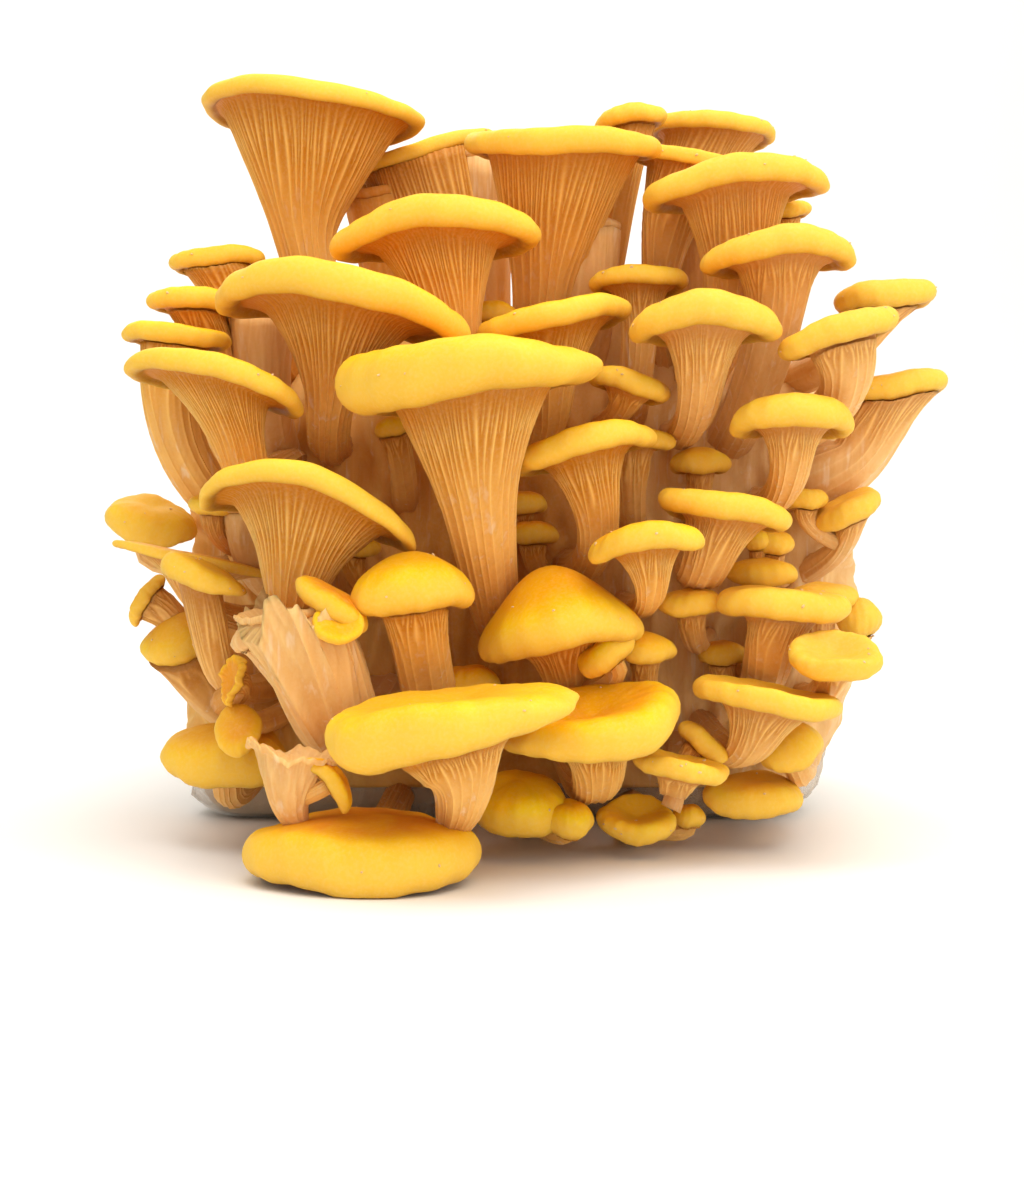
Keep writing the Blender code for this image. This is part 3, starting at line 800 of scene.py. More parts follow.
MUSHROOMS: tuple[Mushroom, ...] = (
    # The crown, on tall stems from the top of the block
    Mushroom("crown_left", (310, 114), -2, 61, 48, 5.5, on_top(-50, 12), 31, 7, 6, back=6, right=5,
             flare=0.85, roll=0.8, shelf=0.93),
    Mushroom("crown_second", (422, 160), -25, 46, 26, 4.5, on_top(-22, 38), 40, 11, 6, back=5, right=-16,
             flare=0.9, shelf=0.9),
    Mushroom("crown_middle", (563, 146), 14, 55, 42, 7, on_top(3, 12), 36, 8.5, 6.5, back=-8, right=1,
             flare=0.95, aside=-4, shelf=0.93),
    Mushroom("crown_back", (630, 122), -12, 22, 20, 5, on_top(15, 30), 32, 5.5, 5.2, back=4, right=-8,
             flare=1.4, aside=-11),
    Mushroom("crown_right", (712, 133), -28, 40, 27, 5, on_top(45, 46), 32, 7, 5, back=6, right=3,
             aside=-12, shelf=0.9),
    Mushroom("crown_shelf", (688, 162), 4, 36, 18, 4, on_top(42, 12), 26, 5, 3, back=0, right=10,
             flare=0.8, aside=-3),
    Mushroom("crown_right_front", (733, 183), 24, 49, 36, 7.5, on_top(50, 7), 24, 8, 6.5, back=3,
             right=-6, arch=3, flare=1.6, inward=0.5),
    # The second tier
    Mushroom("arch", (438, 230), 32, 55, 36, 8.5, on_front(-14, 114), 24, 6.2, 4.5, back=8, right=-3,
             dome=2, arch=3.5, flare=1.3, aside=3, shelf=0.74),
    Mushroom("left_shoulder", (342, 296), 47, 67, 46, 9.5, on_front(-54, 108), 24, 5.6, 5, back=4,
             right=9, arch=6, flare=1.5, inward=0.4, shelf=0.72),
    Mushroom("outer_left_top", (218, 262), 4, 28, 20, 5, on_top(-68, 24), 23, 7.5, 7, back=3, right=-4,
             flare=1.3, inward=0.5, aside=10, bend=0.2),
    Mushroom("outer_left_middle", (198, 304), 20, 29, 20, 5.5, on_front(-76, 114), 12, 6, 6, back=3,
             right=3, inward=0.6, aside=4),
    Mushroom("curved_stem", (176, 338), 30, 29, 20, 5, on_front(-77, 90), 17, 6.8, 6, back=2, right=5,
             aside=-1, bend=0.6),
    Mushroom("left_lip", (220, 376), 52, 45, 36, 6, on_front(-66, 104), 19, 6, 4, back=7, right=13,
             arch=4, aside=11),
    Mushroom("tall_right", (778, 251), 38, 39.5, 32, 7.5, on_front(58, 110), 13, 7, 5.5, back=3, right=-3,
             arch=3, flare=1.6, aside=0),
    Mushroom("right_front", (703, 320), 52, 38.6, 32, 8.6, on_front(42, 112), 17, 5, 3.6, back=5, dome=2,
             arch=3, inward=0.5),
    Mushroom("tucked_right", (640, 283), 16, 28, 20, 5, on_front(30, 116), 12, 4.5, 4, back=8),
    Mushroom("leaning_middle", (552, 323), 34, 43.5, 32, 6.5, on_front(3, 112), 20, 5.4, 4.5, back=3,
             right=-12, aside=-5),
    Mushroom("tucked_middle", (492, 316), 14, 15, 13, 5, on_front(-4, 118), 8, 3.2, 3, back=4, dome=2),
    Mushroom("outer_right", (840, 334), 50, 31.5, 24, 7, on_front(76, 112), 10, 6.5, 4.8, back=3,
             right=-17, flare=1.3, bend=0.2),
    Mushroom("outer_right_top", (884, 298), 22, 27, 20, 7, on_top(74, 14), 12, 6.5, 4.5, back=2, right=-5,
             flare=1.3, aside=-9),
    Mushroom("outer_right_fan", (896, 388), 12, 28, 22, 6.5, on_front(78, 99), 16, 8.5, 9, back=2,
             right=-8, flare=2.2, aside=-10),
    # The middle of the flush
    Mushroom("biggest", (471, 376), 70, 67, 54, 13.5, on_front(-6, 54), 30, 8, 4.2, right=-5, dome=1,
             flare=1.05, aside=-1, roll=0.95, shelf=0.86, taper=-0.32),
    Mushroom("tilted_left", (312, 494), 62, 57, 46, 5.8, on_front(-58, 60), 25, 5.8, 5, back=11, right=12,
             arch=8, flare=1.4, shelf=0.8),
    Mushroom("right_shelf", (793, 416), 48, 32.5, 26, 8, on_front(66, 93), 12, 4.8, 3.5, back=5, dome=2,
             arch=3),
    Mushroom("middle_right", (582, 446), 54, 37, 30, 7, on_front(12, 74), 19, 4.8, 4.5, back=4, right=-14,
             arch=1.5),
    Mushroom("middle_right_back", (635, 440), 30, 21, 16, 5, on_front(32, 84), 13, 3.6, 3.2, back=2,
             right=4),
    Mushroom("under_biggest", (630, 386), 38, 22, 18, 5.5, on_front(22, 115), 5.5, 3.2, 3, back=3,
             right=17, bend=0.15),
    Mushroom("small_dome", (700, 465), 22, 17, 14, 5, on_front(50, 94), 8, 3, 2.5, dome=2.5),
    Mushroom("right_tilted", (724, 511), 50, 36, 30, 6.7, on_front(47, 82), 15, 5.6, 5, back=4, right=10,
             aside=-2),
    Mushroom("right_low_arch", (647, 539), 68, 30, 24, 6.5, on_front(28, 64), 13, 3.4, 3, back=3,
             right=-7, arch=2.5, bend=0.13),
    # The left edge
    Mushroom("far_left_lobe", (150, 522), 4, 26, 18, 9, on_front(-84, 74), 8, 3.5, 3, back=-22, right=14,
             dome=2, inward=0.1, roll=0.7),
    Mushroom("left_shelf", (197, 561), 33, 43, 20, 2.6, on_front(-74, 60), 8, 4, 3, back=3, right=12,
             orange=0.5),
    Mushroom("left_bud", (213, 506), 36, 13, 12, 4, on_front(-68, 78), 8, 2.6, 2.4, back=-8, right=6,
             dome=0.5),
    Mushroom("finger_pin", (392, 428), 26, 10, 9, 4, on_front(-34, 92), 9, 3.4, 3.4, back=-12, right=-14,
             dome=2),
    Mushroom("left_trumpet", (205, 578), 52, 24, 18, 5.5, on_front(-66, 43), 27, 3.4, 4.5, right=21,
             flare=1.2, aside=14, bend=0.15, taper=-0.35, gills=0.8),
    Mushroom("left_ruffle", (178, 642), 20, 22, 18, 7, on_front(-76, 34), 15, 7.5, 8.5, back=-22,
             right=-12, dome=4, aside=3, bend=0.45, taper=0.3, ragged=0, gills=0.4, orange=0.15),
    Mushroom("ruffle_edge", (147, 600), 20, 16, 12, 3.5, "left_ruffle", 8, 4, 4.5, back=0, right=-58,
             flare=0.9, ragged=0.3, orange=0.6),
    Mushroom("torn_scrap", (232, 680), 58, 13, 9, 2.6, "left_trumpet", 4.5, 2.6, 3.4, back=-35, right=-75,
             dome=-1, ragged=0.6, orange=0.9),
    Mushroom("folded_lobe", (238, 730), 58, 12, 16, 4.5, on_front(-56, 42), 3.6, 2.8, 3, back=-48,
             right=-12, dome=2, inward=0.85, bend=0.25, orange=0.2),
    Mushroom("low_left_dome", (226, 758), 37, 34, 26, 11, on_front(-74, 20), 8, 4, 4, back=-10, right=3,
             dome=4, taper=0.1, round=0.9, orange=0.35),
    # The front of the flush, low down
    Mushroom("broken_trumpet", (290, 612), 72, 28, 18, 3, on_front(-40, 36), 24, 10.5, 7.5, right=-6,
             dome=-8, flare=0.8, aside=7, bend=0.36, shelf=0.93, ragged=0.45, gills=1.3, bare=1),
    Mushroom("broken_cap", (338, 622), 82, 13, 12, 3, "broken_trumpet", 6, 2.5, 2.5, back=-52, right=18,
             dome=-1, round=0.9),
    Mushroom("stout_dome", (413, 592), 72, 31, 26, 9, on_front(-24, 34), 13, 6.4, 6.4, right=-6, dome=5.5,
             arch=2, inward=0.4, round=0.9, orange=0.15),
    Mushroom("torn_small", (294, 752), 84, 23, 16, 2, on_cap((300, 831), 80), 11, 5, 2.2, right=9,
             dome=-6, flare=1.0, inward=0, bend=0.3, shelf=0.93, ragged=0.9, gills=1.3, bare=1),
    Mushroom("front_long", (450, 721), 94, 58, 38, 12.5, on_cap((454, 833), 82), 14, 7.5, 3.6, back=-2,
             right=-13, dome=0.5, inward=0.3, bend=0.3, roll=1.0, taper=-0.36, curl=-2, orange=0.1),
    # The lowest cap's orange paints the shade that falls on its top.
    Mushroom("lowest", (365, 853), 80, 56.5, 46, 13, on_front(-36, 7.5), 1, 4, 4, dome=3, inward=0.9,
             bend=0.06, roll=0.62, round=0.9, orange=0.45),
    Mushroom("front_dome", (558, 626), 58, 43, 34, 10, on_front(14, 40), 15, 5.4, 5, right=-10, dome=10.5,
             arch=4, inward=0.7, round=1.5, orange=0.15),
    Mushroom("under_lobe", (606, 652), 60, 17, 14, 6.5, "front_dome", 4, 2.5, 2.5, back=-10, right=-38),
    Mushroom("dimpled", (592, 722), 70, 46.5, 34, 12, on_front(12, 24), 14, 6, 5, back=-12, right=-9,
             dome=-2, roll=1.0, taper=0.26, orange=0.15),
    Mushroom("middle_bud", (645, 651), 50, 16, 14, 5, on_front(34, 40), 9, 3, 2.8, back=-6, dome=2.5),
    Mushroom("middle_shelf", (691, 604), 42, 17, 15, 5, on_front(52, 54), 8, 3, 3, back=-6, right=-4,
             dome=2),
    # The right edge
    Mushroom("right_ear", (848, 510), 20, 19, 15, 6, on_front(80, 73), 7, 4, 3.5, back=-10, right=-28,
             dome=1, aside=-3),
    Mushroom("right_ear_small", (806, 500), 20, 12, 10, 5, "right_ear", 6, 2.5, 2.5, dome=1),
    Mushroom("right_knob", (762, 574), 28, 20, 16, 5.5, on_front(66, 64), 7, 3, 3, back=-6, dome=2),
    Mushroom("right_knob_small", (758, 543), 24, 8.5, 8, 4, "right_knob", 5, 2, 2, dome=2),
    Mushroom("right_broad", (782, 605), 48, 35, 26, 7.5, on_front(66, 46), 13, 6, 5, right=4, aside=-2),
    Mushroom("right_behind", (824, 598), 28, 19, 15, 5.5, on_front(83, 52), 8, 3, 3, back=-4, dome=2),
    Mushroom("right_far_lobe", (859, 620), 28, 12, 12, 9, "right_behind", 6, 2.5, 2.5, right=-10, dome=2),
    Mushroom("right_dimpled", (835, 655), 61, 23.5, 18, 8, on_front(80, 37), 8, 3.6, 3.6, back=-28,
             dome=-3, inward=0.1, bend=0.15),
    Mushroom("right_hollow", (769, 697), 60, 39, 30, 6.6, on_front(50, 30), 14, 5, 3.8, right=9, dome=-2,
             aside=-2, bend=0.2),
    Mushroom("low_right_back", (791, 750), 42, 18, 16, 8, on_front(80, 21), 5, 3.2, 3.2, back=-10,
             right=-20, dome=4, bend=0.2),
    Mushroom("low_right", (753, 796), 38, 27, 22, 7.5, on_front(68, 9), 2, 3.2, 3.2, back=-8, dome=2,
             inward=0.7, bend=0.2),
    Mushroom("low_hollow", (681, 766), 62, 24.4, 19, 6, on_front(44, 25), 6, 3.5, 3.5, right=11, dome=-2,
             bend=0.3),
    Mushroom("low_hollow_lobe", (702, 742), 52, 15, 11, 5, "low_hollow", 6, 2.5, 2.5, right=40, dome=1),
    Mushroom("low_dish", (637, 819), 49, 20.5, 19, 7, on_front(31, 6), 3, 3.5, 3.5, back=-20, dome=-1.5,
             inward=0.5, bend=0.2),
    Mushroom("low_dish_side", (689, 817), 42, 9, 9, 5, "low_dish", 2, 2.2, 2.2, dome=1),
    Mushroom("low_fan", (520, 806), 54, 25, 22, 10, on_front(2, 8), 4, 4, 4, back=-20, dome=3, inward=0.5,
             bend=0.2),
    Mushroom("low_fan_side", (570, 821), 58, 13, 12, 7, "low_fan", 2, 2.5, 2.5, back=-10, dome=2),
    # Smaller lobes on their neighbours, and pale flanks between the stems
    Mushroom("broken_frill", (251, 636), 72, 11, 9, 4, "broken_trumpet", 4, 3.5, 4, right=-42, ragged=0.6,
             gills=1.3, bare=1),
    Mushroom("broken_edge", (332, 604), 77, 20, 13, 4.5, "broken_trumpet", 5, 2, 2, back=-8, right=30,
             dome=2, curl=-1, orange=0.6),
    Mushroom("torn_lobe", (335, 780), 87, 16, 6, 3.4, "torn_small", 2, 2, 2, back=-10, right=52, dome=1,
             arch=3, orange=0.2),
    Mushroom("crown_step", (788, 212), 8, 13, 10, 4, "crown_right_front", 5, 2.5, 2.5, right=-8, dome=1),
    # dim_cap and the shaded caps lie in shadow; their large orange values paint that shade as deeper orange.
    Mushroom("dim_cap", (470, 684), 44, 17, 13, 7, on_front(-12, 40), 8, 3, 3, dome=2, orange=0.7),
    Mushroom("pale_flank", (248, 508), 34, 20, 14, 3, on_front(-62, 66), 15, 5, 5, dome=0.5, flare=0.8,
             bare=1),
    Mushroom("peach_flank", (262, 312), 16, 22, 15, 3, on_front(-70, 106), 24, 6.5, 6, dome=0.5,
             flare=0.9, bare=1),
    Mushroom("shaded_cap", (520, 505), 16, 15, 12, 5, on_front(4, 82), 6, 3, 3, dome=2, orange=0.8),
    Mushroom("shaded_cap_low", (533, 535), 20, 14, 12, 5, on_front(8, 70), 6, 3, 3, dome=2, orange=0.9),
    Mushroom("shaded_cap_left", (352, 548), 14, 16, 12, 5, on_front(-42, 66), 6, 3, 3, dome=2,
             orange=0.8),
    Mushroom("right_cluster", (772, 545), 22, 13, 11, 5, on_front(74, 72), 6, 3, 3.5, dome=2, orange=0.1),
    Mushroom("right_cluster_low", (722, 655), 26, 14, 11, 5, on_front(62, 38), 6, 3, 3.5, dome=2,
             orange=0.6),
    Mushroom("crown_middle_side", (590, 226), 2, 18, 14, 3, on_top(14, 20), 26, 7, 7, dome=0.5, flare=0.9,
             shelf=0.93, bare=1),
    Mushroom("crown_second_side", (488, 156), -20, 20, 14, 3, on_top(-10, 34), 40, 6, 6, dome=0.5,
             flare=0.9, shelf=0.93, bare=1),
    Mushroom("crown_second_left", (374, 196), -22, 21, 16, 3, on_top(-34, 36), 34, 7, 6, right=-10,
             dome=0.5, flare=0.9, shelf=0.93, bare=1, orange=0.5),
    Mushroom("crown_right_side", (692, 236), -8, 24, 16, 3, on_top(42, 26), 26, 7, 6, dome=0.5, flare=0.9,
             shelf=0.93, bare=1, orange=0.3),
)


class Grain(Enum):
    """How fine a mushroom's skin is: spokes round it, gills round it, and rings on each part of it."""

    LARGE = (460, 24, 14, 12, 8, 16)
    MEDIUM = (290, 16, 12, 10, 7, 13)
    SMALL = (140, 9, 9, 7, 6, 10)

    @classmethod
    def of(cls, width: float) -> "Grain":
        """Chooses the grain for a cap of this width."""
        return cls.LARGE if width >= 44 else cls.MEDIUM if width >= 28 else cls.SMALL


class Growth:
    """Works out where each point of a mushroom's skin lies, ring by ring."""

    def __init__(self, form: Mushroom, number: int, root: Root) -> None:
        """Sets up the cap's axes and the stem's curve.

        Args:
            form: The mushroom.
            number: Its number in the flush, which varies its ripples.
            root: Where its stem starts.
        """
        self.form = form
        self.number = number
        self.grain = Grain.of(form.width)
        spokes = self.grain.value[0]
        self.angle = np.arange(spokes) * (math.tau / spokes)
        lean_right = Matrix.Rotation(math.radians(form.right), 3, "Y")
        lean_back = Matrix.Rotation(math.radians(-form.back), 3, "X")
        self.axes = np.array(lean_right @ lean_back)
        self.middle = VIEW.seen_at(form.at, form.ahead)
        self.neck_offset = np.array([form.aside, form.inward * form.depth / 2, -form.drop])
        neck = self.middle + self.axes @ self.neck_offset
        reach = np.linalg.norm(neck - root.place) * form.bend
        up = self.axes[:, 2]
        self.spine = np.array([root.place, root.place + root.heading * reach, neck - up * reach, neck])

    def spine_at(self, along: float) -> tuple[np.ndarray, np.ndarray]:
        """The stem's middle and its heading, from its root at 0 to the neck at 1."""
        a, b, c, d = self.spine
        rest = 1 - along
        place = a * rest**3 + b * 3 * rest**2 * along + c * 3 * rest * along**2 + d * along**3
        heading = (b - a) * rest**2 + (c - b) * 2 * rest * along + (d - c) * along**2
        return place, heading / np.linalg.norm(heading)

    def stem_ring(self, along: float) -> np.ndarray:
        """A ring round the stem, from its root at 0 to the neck at 1."""
        place, heading = self.spine_at(along)
        turn = np.array(Vector(self.axes[:, 2]).rotation_difference(Vector(heading)).to_matrix())
        radius = self.form.foot + (self.form.neck - self.form.foot) * along
        circle = np.stack([np.cos(self.angle), np.sin(self.angle), 0 * self.angle], 1)
        return place + radius * circle @ (turn @ self.axes).T

    def cap_ring(self, share: Any, height: Any, from_neck: float = 1.0) -> np.ndarray:
        """A ring at a share of the cap's half width and a height over its rim.

        Args:
            share: The share of the half width, one number or one for each spoke.
            height: The height over the rim's middle.
            from_neck: 0 where the ring is centred on the stem, 1 where on the cap.

        Returns:
            One point for each spoke.
        """
        form, angle, number = self.form, self.angle, self.number
        ripple = 0.035 * np.cos(2 * angle + number) + 0.03 * np.cos(3 * angle + 2.3 * number)
        ripple = ripple + 0.008 * np.cos(7 * angle + 3.1 * number) + 0.005 * np.cos(17 * angle + number)
        ripple = 1 + share * ripple
        x = share * ripple * np.cos(angle) * form.width / 2
        y = share * ripple * np.sin(angle) * form.depth / 2
        across = share * np.cos(angle)
        z = height * (1 + form.taper * across - 0.28 * across**2) - form.arch * across**2 + form.curl * across**3
        z = z + 0.06 * form.rim * share * np.cos(3 * angle + 1.7 * number)
        z = z + 0.035 * form.rim * share**3 * np.cos(6 * angle + 0.7 * number)
        z = z + 0.02 * form.rim * share**3 * np.cos(15 * angle + 1.9 * number)
        z = z - form.dip * np.exp(-((share / 0.4) ** 2))
        if form.ragged:
            torn = 1.5 * np.cos(2 * angle + 1.3 * number) + np.cos(5 * angle + number) + 0.6 * np.cos(9 * angle + number)
            torn = torn + 0.4 * np.cos(17 * angle + 2 * number) + 0.25 * np.cos(29 * angle + number)
            z = z + form.ragged * share**6 * torn
        offset = np.array([self.neck_offset[0], self.neck_offset[1], 0.0]) * (1 - from_neck)
        return self.middle + (np.stack([x, y, z], 1) + offset) @ self.axes.T

    def funnel_ring(self, along: float) -> np.ndarray:
        """A ring on the gilled underside, from the neck at 0 to the rolled margin at 1."""
        form = self.form
        neck_x, neck_y = 2 * form.neck / form.width, 2 * form.neck / form.depth
        neck_share = np.hypot(neck_x * np.cos(self.angle), neck_y * np.sin(self.angle))
        end_share, end_height = self.shelf(0.0)
        share = neck_share + (np.maximum(end_share, neck_share + 0.05) - neck_share) * along**form.flare
        return self.cap_ring(share, -form.drop + (form.drop + end_height) * along, from_neck=along)

    def shelf(self, out: float) -> tuple[float, float]:
        """The share and height of the flat underside, from the funnel at 0 out to the rolled margin at 1."""
        end_share, end_height = self.margin(1.0)
        sunk = 0.3 * self.form.rim * (1 - out) ** 1.5
        return end_share * (self.form.shelf + (1 - self.form.shelf) * out), end_height - sunk

    def shelf_ring(self, out: float) -> np.ndarray:
        """A ring on the flat underside, from the funnel at 0 out to the rolled margin at 1."""
        return self.cap_ring(*self.shelf(out))

    def margin(self, turn: float) -> tuple[float, float]:
        """The share and height of the rolled margin, from its widest at 0 round below to the gills at 1."""
        round_by = self.form.roll * self.form.rim / self.form.width
        bent = math.radians(150) * turn
        return 1 - round_by * (1 - math.cos(bent)), -0.5 * self.form.rim * math.sin(bent)

    def lip_ring(self, turn: float) -> np.ndarray:
        """A ring on the margin's lower half, from the gills at 1 out to its widest at 0."""
        return self.cap_ring(*self.margin(turn))

    def top_ring(self, share: float) -> np.ndarray:
        """A ring on the cap's top, from its middle at 0 to its widest at 1."""
        round_by = self.form.roll * self.form.rim / self.form.width
        past = max(0.0, share - 1 + round_by) / round_by
        rolled = 0.5 * self.form.rim * math.sqrt(max(0.0, 1 - past**2))
        return self.cap_ring(share, rolled + self.form.dome * (1 - share**2) ** self.form.round)

    def top_shares(self, count: int) -> list[float]:
        """The shares of the rings on the cap's top, close together on the rolled margin."""
        round_by = self.form.roll * self.form.rim / self.form.width
        rolled = [1 - round_by * (1 - math.sin(math.pi / 2 * (1 - step / 5))) for step in range(1, 6)]
        inner = 1 - round_by
        return rolled + [inner * (1 - step / (count - 5)) for step in range(1, count - 5)]

    def gills(self, along: np.ndarray) -> np.ndarray:
        """The gills' edges on rings of the underside.

        Args:
            along: The place of each ring, from the neck at 0 to the margin at 1.

        Returns:
            Rings by spokes, 1 on an edge and 0 in the valleys between.
        """
        count = self.grain.value[1]
        angle, ring = self.angle[None, :], along[:, None]
        phase = angle / math.tau * count + self.number * 0.37
        phase = phase + 0.2 * np.sin(5 * angle + 2.5 * ring + self.number)
        phase = phase + 0.09 * np.sin(11 * angle - 4 * ring + 2 * self.number)
        ridge = np.abs(2 * (phase % 1) - 1) ** 4
        for doubled, starts in ((1, 0.02), (2, 0.3)):
            order = np.floor(phase * doubled + 0.5) * (2.1 + doubled) + self.number
            appears = starts + 0.2 * (np.sin(order * 12.9898) * 43758.5453 % 1)
            between = np.abs(2 * ((phase * doubled + 0.5) % 1) - 1) ** 4
            ridge = np.maximum(ridge, between * np.clip((ring - appears) / 0.12, 0, 1) * 0.95)
        return ridge

    def grid(self, parts: Sequence[str]) -> tuple[np.ndarray, np.ndarray, np.ndarray]:
        """The rings of some parts of the skin, from the root up, with the gills cut in.

        Args:
            parts: Which of stem, funnel, lip and top to make.

        Returns:
            The points, ring by spoke, how far along each ring is (0 root, 1 neck, 2 margin, 3 crown), and
            the gills' edges.
        """
        _, _, stems, funnels, lips, tops = self.grain.value
        rings, along = [], []
        if "stem" in parts:
            for step in np.linspace(0, 1, stems):
                rings.append(self.stem_ring(step))
                along.append(step)
        if "funnel" in parts:
            for step in np.linspace(0, 1, funnels + 1)[1:]:
                rings.append(self.funnel_ring(step))
                along.append(1 + 0.8 * step)
            for step in np.linspace(0, 1, 5)[1:]:
                rings.append(self.shelf_ring(step))
                along.append(1.8 + 0.15 * step)
        if "top" in parts:
            for step in np.linspace(1, 0, lips + 1)[1:]:
                rings.append(self.lip_ring(step))
                along.append(2.05 - 0.1 * step)
            for share in self.top_shares(tops):
                rings.append(self.top_ring(share))
                along.append(2.05 + 0.95 * (1 - share) ** 0.7)
        points, along = np.array(rings), np.array(along)
        if "stem" in parts and "funnel" in parts:
            points = self.ease_neck(points, stems)
        ridge = self.gills(np.clip(along - 1, 0, 1))
        points = points - self.outward(points) * self.relief(along, ridge)[:, :, None]
        return points, along, ridge

    @staticmethod
    def ease_neck(points: np.ndarray, neck: int) -> np.ndarray:
        """Smooths the rings on both sides of the neck, so that the stem runs into the funnel."""
        eased = points.copy()
        low, high = max(1, neck - 7), neck + 5
        for _ in range(14):
            eased[low:high] = 0.25 * eased[low - 1 : high - 1] + 0.5 * eased[low:high] + 0.25 * eased[low + 1 : high + 1]
        return eased

    def relief(self, along: np.ndarray, ridge: np.ndarray) -> np.ndarray:
        """How far each point of the skin lies below its smooth form: gills, and folds along the stem."""
        form, angle, number = self.form, self.angle[None, :], self.number
        deep = min(0.85, 0.35 + 0.008 * form.width)
        full = np.interp(along, [0, 0.3, 0.9, 1.3, 1.7, 1.82, 1.92], [0.3, 0.45, 0.6, 0.85, 0.9, 0.4, 0])
        folds = 0.4 * np.cos(3 * angle + number) + 0.35 * np.cos(5 * angle + 2 * number)
        folds = folds + 0.3 * np.cos(8 * angle + 3 * number)
        folded = np.interp(along, [0, 0.2, 1, 1.4, 1.8], [0.1, 0.12, 0.12, 0.08, 0]) * form.neck
        deep = deep * form.gills
        return deep * full[:, None] * (1 - ridge) + folded[:, None] * (0.5 + 0.5 * folds)

    @staticmethod
    def outward(points: np.ndarray) -> np.ndarray:
        """The outward direction at each point of a grid of rings."""
        round_it = np.roll(points, -1, 1) - np.roll(points, 1, 1)
        upwards = np.gradient(points, axis=0)
        normal = np.cross(round_it, upwards)
        return normal / np.maximum(np.linalg.norm(normal, axis=2, keepdims=True), 1e-9)


@dataclass
class Flush:
    """All the mushrooms, each a closed skin of rings spun round its stem and cap."""

    table: tuple[Mushroom, ...] = MUSHROOMS
    branches_at: float = 0.8
    fuller: float = 1.2
    rests_at: float = 0.15
    templates: dict[tuple[int, int], bpy.types.Mesh] = field(default_factory=dict)

    def barrel(self, rings: int, spokes: int) -> bpy.types.Mesh:
        """A closed barrel: a profile of one vertex a ring, spun round Z, with a pole at each end.

        Args:
            rings: How many rings it has between the poles.
            spokes: How many points each ring has.

        Returns:
            A mesh to copy.
        """
        if (rings, spokes) not in self.templates:
            mesh = bmesh.new()
            profile = [mesh.verts.new((0, 0, 0))]
            profile += [mesh.verts.new((1, 0, level + 1)) for level in range(rings)]
            profile.append(mesh.verts.new((0, 0, rings + 1)))
            edges = [mesh.edges.new(pair) for pair in zip(profile, profile[1:])]
            bmesh.ops.spin(mesh, geom=profile + edges, cent=(0, 0, 0), axis=(0, 0, 1), angle=math.tau,
                           steps=spokes, use_merge=True)
            bmesh.ops.remove_doubles(mesh, verts=mesh.verts, dist=1e-4)
            bmesh.ops.recalc_face_normals(mesh, faces=mesh.faces)
            data = bpy.data.meshes.new("barrel")
            mesh.to_mesh(data)
            mesh.free()
            self.templates[(rings, spokes)] = data
        return self.templates[(rings, spokes)]

    def skin(self, growth: Growth, parts: Sequence[str], first: np.ndarray, last: np.ndarray) -> bpy.types.Mesh:
        """Makes one closed skin from some parts of a mushroom.

        Args:
            growth: The mushroom.
            parts: The parts that the skin covers.
            first: Its first pole.
            last: Its last pole.

        Returns:
            The mesh, in metres, with its traits.
        """
        points, along, ridge = growth.grid(parts)
        rings, spokes = points.shape[:2]
        data = self.barrel(rings, spokes).copy()
        places = np.empty(len(data.vertices) * 3)
        data.vertices.foreach_get("co", places)
        places = places.reshape(-1, 3)
        level = np.rint(places[:, 2]).astype(int)
        spoke = np.rint(np.arctan2(places[:, 1], places[:, 0]) / (math.tau / spokes)).astype(int) % spokes
        ring = np.clip(level - 1, 0, rings - 1)
        made = points[ring, spoke]
        made[level == 0] = first
        made[level == rings + 1] = last
        made[:, 2] = np.maximum(made[:, 2], self.rests_at)
        data.vertices.foreach_set("co", (made * MM).ravel())
        pole = (level == 0) | (level == rings + 1)
        far = 0.95 if growth.form.bare else 3.0
        self.carry(data, "along", np.where(level == rings + 1, far, np.minimum(along, far)[ring]))
        self.carry(data, "ridge", np.where(pole, 0.5, ridge[ring, spoke]))
        # Paleness is a tone that changes across the flush. The warmth is partly the caps' own deeper orange and partly
        # painted shade: it grows high up, where the crown's stems and undersides lie in shadow, and with each cap's
        # orange value.
        right_side = np.clip((growth.form.at[0] - 560) / 260, 0, 1)
        high_up = np.clip((430 - growth.form.at[1]) / 330, 0, 1)
        vary = math.sin(growth.number * 7.31)
        left_side = np.clip((270 - growth.form.at[0]) / 100, 0, 1) * (growth.form.at[1] > 450)
        pale = float(np.clip(0.6 * right_side + 0.55 * left_side + 0.12 * vary + 0.6 * growth.form.bare, 0, 1))
        warm_and_shade = 0.1 + 0.1 * math.sin(growth.number * 3.7) + 0.6 * high_up + growth.form.orange
        self.carry(data, "pale", np.full(len(made), pale))
        self.carry(data, "warm_and_shade", np.full(len(made), warm_and_shade))
        data.update()
        data.shade_smooth()
        return data

    @staticmethod
    def carry(data: bpy.types.Mesh, name: str, values: np.ndarray) -> None:
        """Stores a value at each point of a mesh."""
        trait = data.attributes.new(name, "FLOAT", "POINT")
        trait.data.foreach_set("value", values.astype(np.float32))

    def skins(self, growth: Growth) -> list[bpy.types.Mesh]:
        """Makes the closed skins of one mushroom. A shallow cap takes its stem from the side, as a second skin.

        Args:
            growth: The mushroom.

        Returns:
            One or two meshes.
        """
        form = growth.form
        crown = growth.cap_ring(0.0, 0.5 * form.rim + form.dome)[0]
        if form.drop >= form.rim:
            return [self.skin(growth, ("stem", "funnel", "top"), growth.spine[0], crown)]
        underside = growth.cap_ring(0.0, -form.drop, from_neck=0.0)[0]
        inside = growth.cap_ring(0.0, 0.0, from_neck=0.5)[0]
        return [
            self.skin(growth, ("funnel", "top"), underside, crown),
            self.skin(growth, ("stem",), growth.spine[0], inside),
        ]

    def branch_root(self, host: Growth, branch: Mushroom) -> Root:
        """A root inside another mushroom's stem, for one that branches straight out of it."""
        place, _ = host.spine_at(self.branches_at)
        heading = VIEW.seen_at(branch.at, branch.ahead) - place
        return Root(place, heading / np.linalg.norm(heading))

